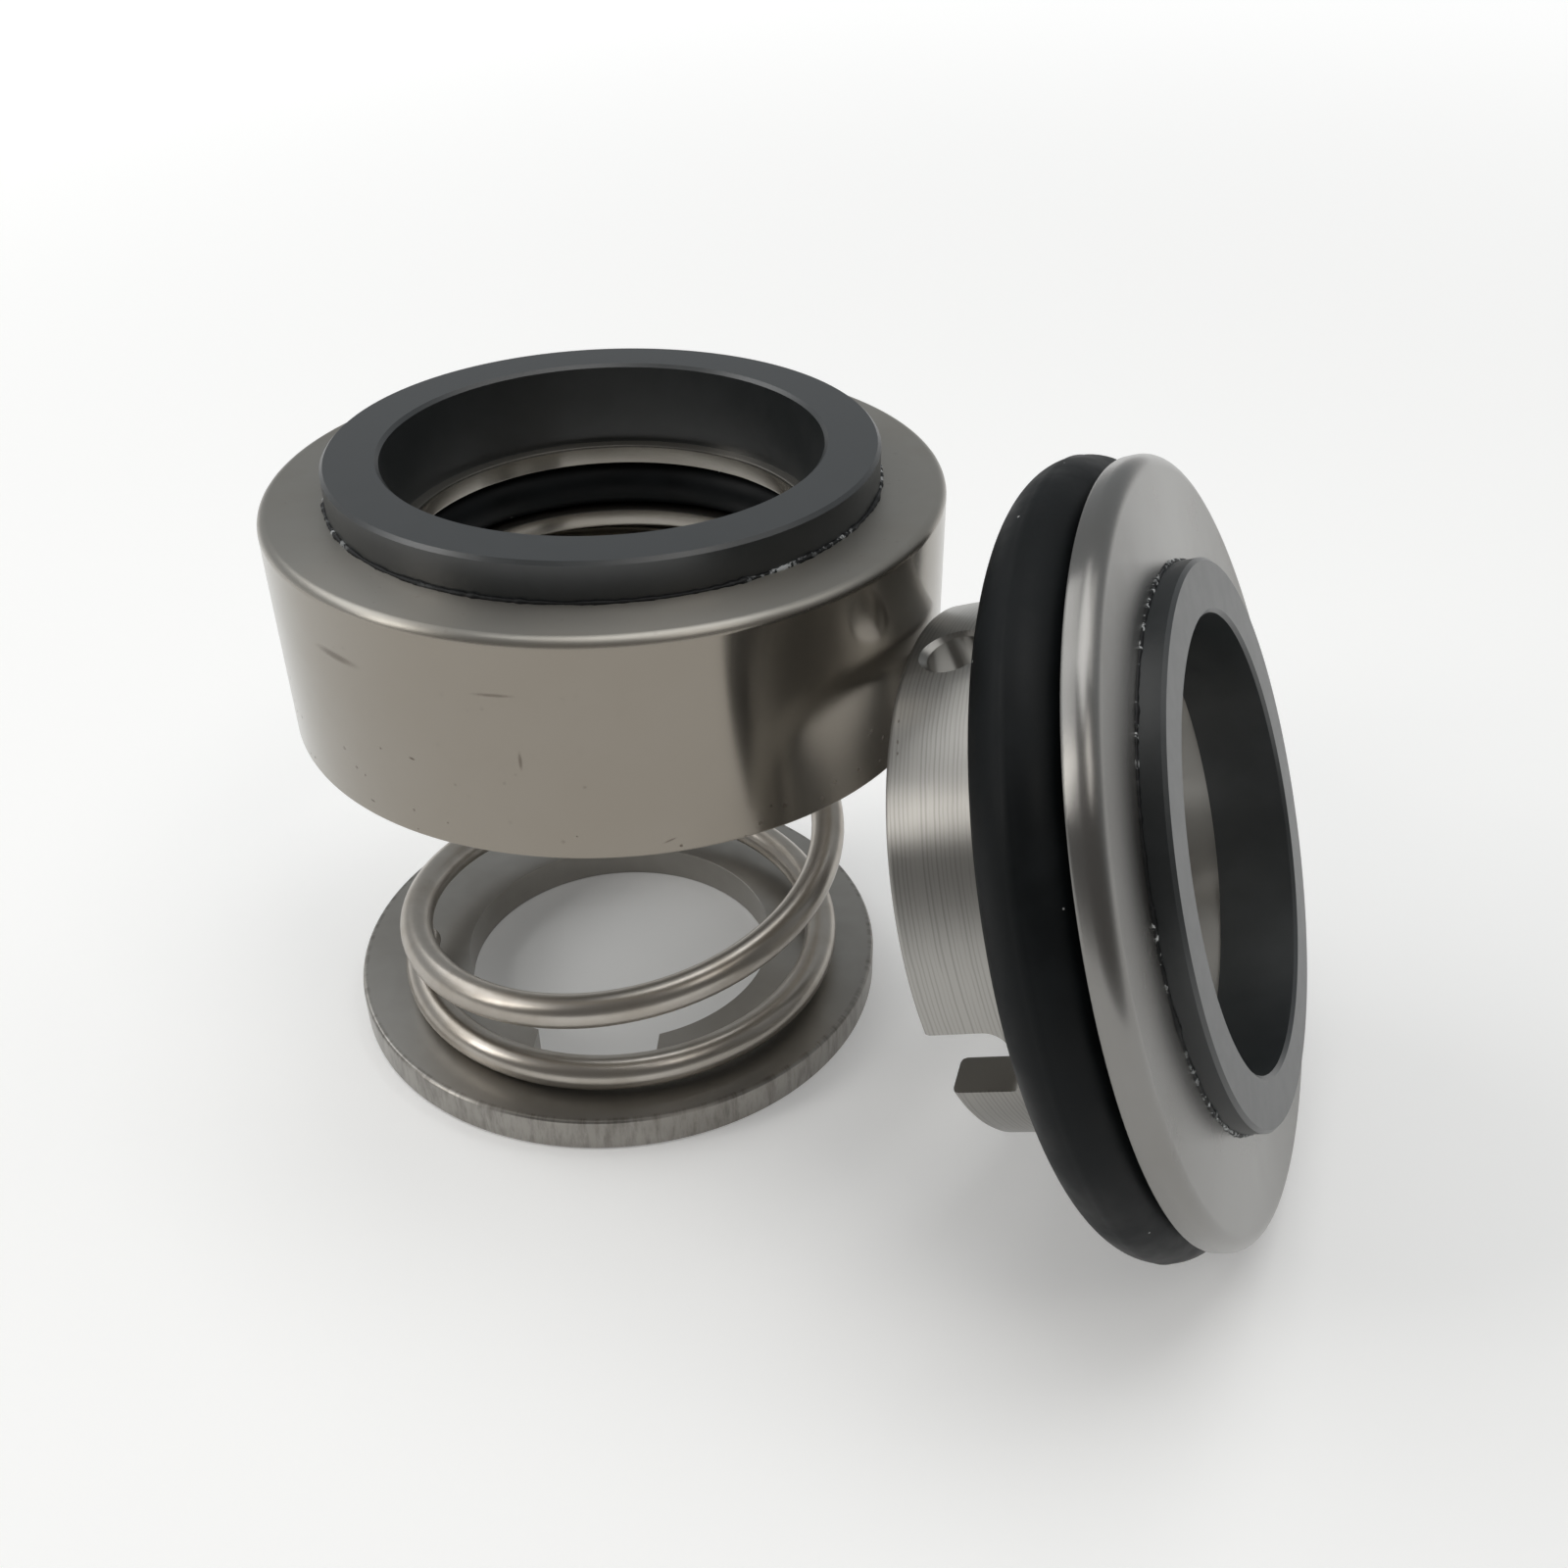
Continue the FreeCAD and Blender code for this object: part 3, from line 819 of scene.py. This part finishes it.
@dataclass(frozen=True)
class Bead:
    """An uneven bead of adhesive round a face ring: its mean thickness, and how its waves swell it."""

    name: str
    finish: Finish
    size: float
    seed: float
    offset: float = 0.05
    turner: Turner = Turner(512)
    around: int = 10
    coarse_waves: float = 9.0
    coarse_swell: float = 0.7
    fine_waves: float = 46.0
    fine_swell: float = 0.6
    fine_seed: float = 3.0
    least: float = 0.7
    sharp_from: float = 80.0

    def build(self, ring: float, height: float, place: Matrix, body: Body) -> None:
        """Builds and dresses the bead.

        Args:
            ring: radius of the ring that it lies round.
            height: height of the face that it lies on.
            place: from its own millimetres to the frame's metres.
            body: body that it rides on.
        """
        radius = ring + self.offset
        shape = self.turner.ring(radius, self.size, around=self.around)
        for point in shape.verts:
            middle = Vector((point.co.x, point.co.y, 0.0)).normalized() * radius
            spread = point.co - middle
            direction = middle / radius
            coarse = noise.noise(direction * self.coarse_waves + UPRIGHT * self.seed)
            fine = noise.noise(direction * self.fine_waves + UPRIGHT * (self.seed + self.fine_seed))
            grown = max(self.least, 1.0 + self.coarse_swell * coarse + self.fine_swell * fine)
            point.co = middle + spread * grown + UPRIGHT * height
        fit(self.name, shape, place, body, self.finish, sharp_from=self.sharp_from)


@dataclass
class SpringRetainer:
    """Flat turned disc that carries the spring, with a drive notch across its bore."""

    radius: float = 26.5
    thickness: float = 3.5
    bore: float = 15.6
    edge: float = 0.4
    notch_width: float = 11.9
    notch_reach: float = 19.4
    notch_turn: float = -4.0
    burr: float = 0.12
    # the rim streaks are real marks, and they also paint shade on the rim
    finish: Finish = TurnedSteel("dull_turned_steel", Slot.RETAINER_STEEL, (0.37, 0.355, 0.33), (0.31, 0.295, 0.27),
                                 roughness=0.33, face_roughness=0.33, anisotropy=0.3, lines=Grain(2.2),
                                 line_depth=0.004, wear=(RimStreaksAndPaintedShade(radius=26.0, strength=0.5),))

    def build(self) -> None:
        """Builds and dresses the disc."""
        place = Matrix.Rotation(math.radians(self.notch_turn), 4, "Z") @ Matrix.Scale(MM, 4)
        fit("retainer_disc", self._mesh(), place, Body.BASE, self.finish, ["spring_retainer"])

    def _mesh(self) -> Shape:
        """Turns the disc and cuts the notch across its bore.

        Returns:
            The disc.
        """
        disc = Turner().profile([
            Corner(self.bore, 0.0, self.burr, 2),
            Corner(self.radius, 0.0, self.edge, 3),
            Corner(self.radius, self.thickness, self.edge, 3),
            Corner(self.bore, self.thickness, self.burr, 2),
        ])
        cutter = bmesh.new()
        middle = Matrix.Translation((0.0, -self.notch_reach / 2, self.thickness / 2))
        size = Matrix.Diagonal((self.notch_width, self.notch_reach, self.thickness * 3, 1.0))
        bmesh.ops.create_cube(cutter, size=1.0, matrix=middle @ size)
        return carved(disc, [cutter])


@dataclass
class CompressionSpring:
    """Round-wire spring that leans from its foot on the retainer to the head's axis."""

    wire: float = 3.2
    coil: float = 40.9
    turns: float = 3.35
    opening: float = 2.35
    start: float = -180.0
    foot: tuple[float, float] = (0.5, -1.6)
    travel: float = 8.0
    steps_a_turn: int = 96
    around: int = 28
    end_rounding: float = 0.3
    nudge: float = 1e-4
    finish: Finish = Mottled("drawn_spring_wire", Slot.SPRING_STEEL, (0.45, 0.42, 0.38), (0.38, 0.345, 0.3),
                             roughness=0.3, uneven=(0.92, 1.12), clouds=Grain(0.2), grain=Grain(3.2, 2.0),
                             grain_depth=0.0005, tone_span=(0.35, 0.75), metal=0.93)
    _base: float = field(init=False)
    _length: float = field(init=False)
    _head: Vector = field(init=False)

    def build(self, head_axis: Vector) -> None:
        """Builds and dresses the spring.

        Args:
            head_axis: point of the head's base on its axis, in metres.
        """
        low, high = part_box("compression_spring")
        self._base = low.z / MM
        self._length = (high.z - low.z) / MM
        self._head = head_axis / MM
        place = Matrix.Scale(MM, 4)
        piece = fit("spring_coil", self._mesh(), place, Body.BASE, self.finish, ["compression_spring"],
                    sharp_from=60.0)
        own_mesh(piece)

    def _outwards(self, share: float) -> Vector:
        """Direction from the coil's axis to the wire at a share of its length."""
        angle = math.radians(self.start) + math.tau * self.turns * share
        return Vector((math.cos(angle), math.sin(angle), 0.0))

    def _middle(self, share: float) -> Vector:
        """Finds the centre of the wire.

        Args:
            share: share of the wire's length.

        Returns:
            The centre there, in millimetres.
        """
        rise = math.tanh(self.opening * (2 * share - 1)) / math.tanh(self.opening)
        height = self._base + self._length / 2 + (self._length - self.wire) / 2 * rise
        lean = (height - self._base - self.wire) / (self._head.z - self._base - self.wire)
        lean = min(max(lean, 0.0), 1.0)
        lean = lean * lean * (3 - 2 * lean)
        foot = Vector((*self.foot, 0.0))
        axis = foot.lerp(Vector((self._head.x, self._head.y, 0.0)), lean)
        return axis + self._outwards(share) * self.coil / 2 + UPRIGHT * height

    def _section(self, share: float) -> Matrix:
        """Finds the place of the wire's section.

        Args:
            share: share of the wire's length.

        Returns:
            The place, with the wire's direction as its third axis.
        """
        along = (self._middle(share + self.nudge) - self._middle(share - self.nudge)).normalized()
        out = self._outwards(share)
        out = (out - along * out.dot(along)).normalized()
        turned = Matrix((out, along.cross(out), along)).transposed().to_4x4()
        return Matrix.Translation(self._middle(share)) @ turned

    def _mesh(self) -> Shape:
        """Extrudes the wire's section step by step along its path.

        Returns:
            The wire, with its ends rounded off.
        """
        shape = bmesh.new()
        count = int(self.turns * self.steps_a_turn)
        place = self._section(0.0)
        bmesh.ops.create_circle(shape, segments=self.around, radius=self.wire / 2, matrix=place)
        edges = list(shape.edges)
        ends = [list(edges)]
        for step in range(1, count + 1):
            following = self._section(step / count)
            grown = bmesh.ops.extrude_edge_only(shape, edges=edges)["geom"]
            points = [item for item in grown if isinstance(item, bmesh.types.BMVert)]
            edges = [item for item in grown if isinstance(item, bmesh.types.BMEdge)]
            bmesh.ops.transform(shape, matrix=following @ place.inverted(), verts=points)
            place = following
        ends.append(list(edges))
        for end in ends:
            bmesh.ops.contextual_create(shape, geom=end)
        bmesh.ops.recalc_face_normals(shape, faces=shape.faces)
        round_off(shape, [edge for end in ends for edge in end], self.end_rounding, 3)
        return shape


@dataclass
class RotaryHead:
    """Turned head with its face ring, the adhesive round it and its rubber ring."""

    radius: float = 29.0
    height: float = 19.2
    top_rounding: float = 0.85
    base_edge: float = 0.3
    pocket: float = 22.5
    pocket_depth: float = 6.5
    lower_lip: float = 1.7
    groove: float = 4.9
    groove_radius: float = 21.85
    upper_lip: float = 1.8
    lip_radius: float = 17.56
    lip_edge: float = 0.25
    groove_edge: float = 0.12
    pocket_rounding: float = 0.3
    counterbore: float = 23.45
    counterbore_edge: float = 0.08
    ring_radius: float = 23.4
    ring_bore: float = 18.65
    ring_proud: float = 3.3
    ring_chamfer: float = 0.3
    rubber_section: float = 4.5
    rubber_mean: float = 19.55
    turner: Turner = Turner(320)
    steel: Finish = TurnedSteel(
        "polished_head_steel", Slot.HEAD_STEEL, (0.34, 0.325, 0.295), (0.32, 0.3, 0.265), roughness=0.19,
        face_roughness=0.36, face_from=19.0, anisotropy=0.75, lines=Grain(3.2), line_depth=0.001, metal=0.86, wear=(
            # painted shade: the front side of the head is darker and warmer
            PaintedWarmShade((0.27, 0.24, 0.2), share=0.8, fade=(18.4, 19.0)),
            Damage((
                Mark(-130.9, 14.24, 3.0, 0.45, -1.7, 0.5),
                Mark(-102.3, 14.43, 2.0, 0.18, 2.0, 0.4),
                Mark(-99.3, 8.9, 1.0, 0.2, 90.0, 0.45),
                Mark(-117.7, 7.35, 0.36, 0.13, -8.0, 0.75),
                Mark(-124.0, 7.27, 0.16, 0.13, 0.0, 0.6),
                Mark(-128.2, 1.52, 0.35, 0.12, -10.0, 0.6),
                Mark(-78.0, 1.3, 0.7, 0.12, 20.0, 0.45),
                Pits(strength=0.7, below=9.0),
            )),
        ))
    hard: Finish = CARBIDE
    rubber: Finish = BlackRubber()
    bead: Bead = Bead("head_bond_bead", BondAdhesive(pale_share=0.53, pale_from=0.45), size=0.44, seed=2.0)

    def build(self) -> Vector:
        """Builds and dresses the head's pieces.

        Returns:
            The point of the head's base on its axis, in metres.
        """
        low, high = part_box("rotary_head")
        base = Vector(((low.x + high.x) / 2, (low.y + high.y) / 2, low.z))
        place = Matrix.Translation(base) @ Matrix.Scale(MM, 4)
        groove_base = self.pocket_depth + self.lower_lip
        lip_top = groove_base + self.groove + self.upper_lip
        fit("head_shell", self.turner.profile([
            Corner(self.pocket, 0.0, self.base_edge, 2),
            Corner(self.radius, 0.0, self.base_edge, 2),
            Corner(self.radius, self.height, self.top_rounding, 8),
            Corner(self.counterbore, self.height, self.counterbore_edge, 2),
            Corner(self.counterbore, lip_top),
            Corner(self.lip_radius, lip_top, self.lip_edge, 2),
            Corner(self.lip_radius, groove_base + self.groove, self.groove_edge, 2),
            Corner(self.groove_radius, groove_base + self.groove),
            Corner(self.groove_radius, groove_base),
            Corner(self.lip_radius, groove_base, self.groove_edge, 2),
            Corner(self.lip_radius, self.pocket_depth, self.lip_edge, 2),
            Corner(self.pocket, self.pocket_depth, self.pocket_rounding, 3),
        ]), place, Body.HEAD, self.steel, ["rotary_head"])
        outline = ring_outline(self.ring_bore, self.ring_radius, lip_top, self.height + self.ring_proud,
                               self.ring_chamfer)
        fit("head_face_ring", self.turner.profile(outline), place, Body.HEAD, self.hard, ["rotary_face_ring"])
        lifted = place @ Matrix.Translation((0.0, 0.0, groove_base + self.groove / 2))
        seal = self.turner.ring(self.rubber_mean, self.rubber_section)
        fit("head_rubber_ring", seal, lifted, Body.HEAD, self.rubber, ["shaft_oring"])
        self.bead.build(self.ring_radius, self.height, place, Body.HEAD)
        return base


@dataclass
class StationarySeat:
    """Carrier with its rubber ring, its face ring and the adhesive round that."""

    plate_radius: float = 32.0
    plate: float = 2.5
    front_rounding: float = 1.4
    back_edge: float = 0.35
    hub_radius: float = 25.75
    hub: float = 6.0
    hub_edge: float = 0.3
    sleeve: float = 22.75
    length: float = 19.5
    sleeve_edge: float = 0.5
    bore: float = 19.2
    ring_radius: float = 23.1
    ring_bore: float = 18.65
    ring_proud: float = 2.05
    ring_height: float = 6.8
    ring_edge: float = 0.42
    ring_chamfer: float = 0.3
    glue_gap: float = 0.05
    counterbore_edge: float = 0.08
    slot_width: float = 6.7
    slot_depth: float = 6.5
    slot_corner: float = 1.7
    hole: float = 4.8
    hole_place: float = 4.1
    hole_edge: float = 0.45
    cutter_past: float = 2.0
    slot_cutter_reach: float = 16.0
    hole_cutter_reach: float = 8.0
    hole_cutter_lift: float = 0.05
    hole_cutter_core: float = 0.001
    rubber_section: float = 7.1
    rubber_mean: float = 29.35
    rubber_gap: float = 0.05
    rubber_corners: int = 72
    rubber_ridge: float = 0.06
    turner: Turner = Turner(320)
    steel: Finish = TurnedSteel(
        "fine_turned_steel", Slot.CARRIER_STEEL, (0.25, 0.245, 0.235), (0.238, 0.231, 0.219), roughness=0.26,
        face_roughness=0.26, face_from=19.45, anisotropy=0.9, lines=Grain(2.6), line_depth=0.001, wear=(
            # painted light on the sleeve and bore walls, and painted shade in their furrows
            FeedLinesAndPaintedLight(between=(19.0, 22.95)),
            Damage((
                Mark(-162.1, 0.82, 0.22, 0.12, 0.0, 0.7),
                Mark(-157.4, 0.96, 0.28, 0.12, 10.0, 0.7),
                Mark(-154.9, 1.04, 0.2, 0.1, 0.0, 0.7),
            )),
        ))
    hard: Finish = replace(CARBIDE, name="lapped_seat_carbide")
    rubber: Finish = BlackRubber("moulded_seat_rubber")
    bead: Bead = Bead("seat_bond_bead", BondAdhesive("seat_bond_adhesive", pale_share=0.57), size=0.4, seed=7.0)

    def build(self, mounts: dict[str, dict]) -> None:
        """Builds and dresses the seat's pieces.

        Args:
            mounts: the record's mounts by name.
        """
        place = self._place(mounts)
        fit("seat_shell", self._carrier(), place, Body.BASE, self.steel, ["seat_carrier"])
        outline = ring_outline(self.ring_bore, self.ring_radius, self._ring_base, self.length + self.ring_proud,
                               self.ring_chamfer)
        fit("seat_hard_ring", self.turner.profile(outline), place, Body.BASE, self.hard, ["seat_face_ring"])
        middle = self.length - self.plate - self.rubber_gap - self.rubber_section / 2
        lifted = place @ Matrix.Translation((0.0, 0.0, middle))
        seal = self.turner.ring(self.rubber_mean, self.rubber_section, self.rubber_corners, self.rubber_ridge)
        fit("seat_rubber_ring", seal, lifted, Body.BASE, self.rubber, ["seat_oring"])
        self.bead.build(self.ring_radius, self.length, place, Body.BASE)

    @property
    def _ring_base(self) -> float:
        """Height of the face ring's base."""
        return self.length + self.ring_proud - self.ring_height

    def _place(self, mounts: dict[str, dict]) -> Matrix:
        """Finds where the seat is.

        Args:
            mounts: the record's mounts by name.

        Returns:
            From the seat's own millimetres, with its rear end at height 0, to the frame's metres.
        """
        up = Vector(mounts["seat_bore"]["axis"]).normalized()
        across = -Vector(mounts["anti_rotation_hole"]["axis"])
        across = (across - up * across.dot(up)).normalized()
        middle = self._ring_base + (self.ring_height - self.ring_edge) / 2
        rear = Vector(mounts["seat_bore"]["pos_m"]) - up * middle * MM
        turned = Matrix((across, up.cross(across), up)).transposed().to_4x4()
        return Matrix.Translation(rear) @ turned @ Matrix.Scale(MM, 4)

    def _carrier(self) -> Shape:
        """Turns the carrier and cuts the slot and the countersunk hole out of its sleeve.

        Returns:
            The carrier.
        """
        back = self.length - self.plate
        counterbore = self.ring_radius + self.glue_gap
        turned = self.turner.profile([
            Corner(self.bore, 0.0, self.sleeve_edge, 2),
            Corner(self.sleeve, 0.0, self.sleeve_edge, 2),
            Corner(self.sleeve, back - self.hub),
            Corner(self.hub_radius, back - self.hub, self.hub_edge, 2),
            Corner(self.hub_radius, back),
            Corner(self.plate_radius, back, self.back_edge, 2),
            Corner(self.plate_radius, self.length, self.front_rounding, 10),
            Corner(counterbore, self.length, self.counterbore_edge, 2),
            Corner(counterbore, self._ring_base),
            Corner(self.bore, self._ring_base),
        ])
        return carved(turned, [self._slot_cutter(), self._hole_cutter()])

    def _slot_cutter(self) -> Shape:
        """Makes the slot's cutter.

        Returns:
            A block with two rounded inner corners, through the sleeve's wall at -Y.
        """
        shape = bmesh.new()
        depth = self.slot_depth + self.cutter_past
        box = Matrix.Translation((0.0, -self.sleeve, self.slot_depth - depth / 2))
        size = Matrix.Diagonal((self.slot_width, self.slot_cutter_reach, depth, 1.0))
        bmesh.ops.create_cube(shape, size=1.0, matrix=box @ size)
        corners = [
            edge for edge in shape.edges
            if all(point.co.z > 0.0 for point in edge.verts)
            and abs(edge.verts[0].co.x - edge.verts[1].co.x) < CLOSE
        ]
        round_off(shape, corners, self.slot_corner, 10)
        return shape

    def _hole_cutter(self) -> Shape:
        """Makes the hole's cutter.

        Returns:
            A drill with a countersink, through the sleeve's wall at -X.
        """
        radius = self.hole / 2
        reach = self.hole_cutter_reach
        depth = self.sleeve - self.bore + self.cutter_past
        sink = self.hole_edge + self.hole_cutter_lift
        shape = Turner(96).profile([
            Corner(self.hole_cutter_core, -depth),
            Corner(radius, -depth),
            Corner(radius, -sink),
            Corner(radius + sink + reach, reach),
            Corner(self.hole_cutter_core, reach),
        ])
        outwards = Matrix.Translation((-self.sleeve, 0.0, self.hole_place)) @ Matrix.Rotation(-math.pi / 2, 4, "Y")
        bmesh.ops.transform(shape, matrix=outwards, verts=shape.verts)
        bmesh.ops.recalc_face_normals(shape, faces=shape.faces)
        return shape


@dataclass
class Lamp:
    """A soft panel of light: where it is, what it points at, its size and its power."""

    name: str
    place: Point
    target: Point
    width: float
    height: float
    power: float
    colour: Colour = (1.0, 1.0, 1.0)

    def build(self) -> None:
        """Adds the lamp to the scene."""
        light = bpy.data.lights.new(self.name, "AREA")
        light.shape = "RECTANGLE"
        light.size = self.width
        light.size_y = self.height
        light.energy = self.power
        light.color = self.colour
        lamp = linked(self.name, light)
        lamp.location = self.place
        lamp.rotation_euler = (Vector(self.target) - lamp.location).to_track_quat("-Z", "Y").to_euler()


@dataclass
class Studio:
    """Pale floor, soft lamps, a quiet room and the camera at the photograph's angle."""

    floor_size: float = 60.0
    floor_drop: float = 0.00005
    floor_colour: Colour = (0.88, 0.88, 0.87)
    floor_glow: float = 0.2
    far_glow: float = 0.55
    far_reach: Span = (150.0, 900.0)
    floor_roughness: float = 0.9
    # painted shade on the floor under the disc's bore, and how far out it reaches
    painted_shade_colour: Colour = (0.67, 0.67, 0.66)
    painted_shade_reach: Span = (12.0, 25.0)
    room_low: Colour = (0.58, 0.58, 0.575)
    room_low_front: Colour = (0.34, 0.34, 0.335)
    room_low_turn: Span = (-0.7, 0.1)
    room_back: Colour = (0.36, 0.375, 0.385)
    room_front: Colour = (0.14, 0.135, 0.13)
    room_turn: Span = (-0.6, 0.3)
    room_rise: Span = (0.0, 0.22)
    lamps: list[Lamp] = field(default_factory=lambda: [
        Lamp("overhead_panel", (0.05, 0.05, 1.0), (0.0, 0.0, 0.03), 0.7, 0.7, 3.2),
        Lamp("left_wide_panel", (-0.66, 0.28, 0.74), (0.0, 0.0, 0.03), 0.9, 0.4, 2.1),
        Lamp("left_panel", (-0.78, -0.235, 0.56), (0.0, 0.0, 0.03), 0.24, 0.4, 1.4, (1.0, 0.98, 0.95)),
        Lamp("right_front_panel", (0.36, -0.4, 0.76), (0.04, 0.0, 0.03), 0.34, 0.26, 0.65, (1.0, 0.97, 0.93)),
        Lamp("right_panel", (0.52, 0.1, 0.75), (0.04, 0.0, 0.03), 0.4, 0.25, 0.3, (1.0, 0.98, 0.95)),
    ])
    eye: Point = (17.037, -127.128, 108.95)
    yaw: float = 0.1403
    pitch: float = 34.1919
    roll: float = 0.645
    lens: float = 35.904
    sensor: float = 36.0
    clip: Span = (0.005, 20.0)

    def build(self) -> None:
        """Builds the whole studio."""
        self._floor()
        self._room()
        for lamp in self.lamps:
            lamp.build()
        self._camera()
        bpy.context.scene.view_settings.view_transform = "Standard"

    def _floor(self) -> None:
        """Lays a pale floor, which the camera and the metal see paler than it is lit, with painted shade darkening it
        under the disc's bore, where it is not paler.
        """
        shape = bmesh.new()
        bmesh.ops.create_grid(shape, x_segments=2, y_segments=2, size=self.floor_size / 2)
        bmesh.ops.translate(shape, verts=shape.verts, vec=(0.0, 0.0, -self.floor_drop))
        floor = meshed("floor", shape)
        bench = PieceBench("pale_floor", Matrix.Scale(MM, 4))
        path = bench.node("ShaderNodeLightPath", {}).outputs
        seen = bench.sum("MAXIMUM", path["Is Camera Ray"], path["Is Glossy Ray"])
        # painted shade: the floor is darker and has no glow under the disc's bore, and is clear of it further out
        clear = bench.ramp(bench.radius, *self.painted_shade_reach)
        level = bench.ramp(bench.radius, *self.far_reach, self.floor_glow, self.far_glow)
        colour = bench.blend(clear, opaque(self.painted_shade_colour), opaque(self.floor_colour))
        floor.data.materials.append(bench.finish(
            Base_Color=colour, Roughness=self.floor_roughness, Specular_IOR_Level=0.0,
            Emission_Color=opaque((1.0, 1.0, 1.0)), Emission_Strength=bench.times(seen, level, clear)))

    def _room(self) -> None:
        """Makes the quiet room that metal reflects: pale low down, darker above and darkest behind the camera."""
        bench = Bench(bpy.data.worlds.new("room"), "Background")
        given = bench.node("ShaderNodeTexCoord", {}).outputs["Generated"]
        _, depth, rise = bench.node("ShaderNodeSeparateXYZ", {0: given}).outputs
        high = bench.blend(bench.ramp(depth, *self.room_turn), opaque(self.room_front), opaque(self.room_back))
        low = bench.blend(bench.ramp(depth, *self.room_low_turn), opaque(self.room_low_front), opaque(self.room_low))
        bpy.context.scene.world = bench.finish(Color=bench.blend(bench.ramp(rise, *self.room_rise), low, high))

    def _camera(self) -> None:
        """Puts the camera at the photograph's viewing angle."""
        yaw, pitch, roll = (math.radians(angle) for angle in (self.yaw, self.pitch, self.roll))
        forward = Vector((math.sin(yaw) * math.cos(pitch), math.cos(yaw) * math.cos(pitch), -math.sin(pitch)))
        level = forward.cross(UPRIGHT).normalized()
        down = -level.cross(forward)
        right = level * math.cos(roll) + down * math.sin(roll)
        up = right.cross(forward)
        data = bpy.data.cameras.new("camera")
        data.sensor_width = self.sensor
        data.lens = self.lens
        data.clip_start, data.clip_end = self.clip
        camera = linked("camera", data)
        turned = Matrix((right, up, -forward)).transposed().to_4x4()
        camera.matrix_world = Matrix.Translation(Vector(self.eye) * MM) @ turned
        bpy.context.scene.camera = camera


def main() -> None:
    """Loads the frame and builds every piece."""
    logging.basicConfig(level=logging.INFO, format="%(message)s")
    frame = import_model()
    mounts = {mount["name"]: mount for mount in frame["record"]["mounts"]}
    Studio().build()
    head_axis = RotaryHead().build()
    SpringRetainer().build()
    CompressionSpring().build(head_axis)
    StationarySeat().build(mounts)


if __name__ == "__main__":
    main()
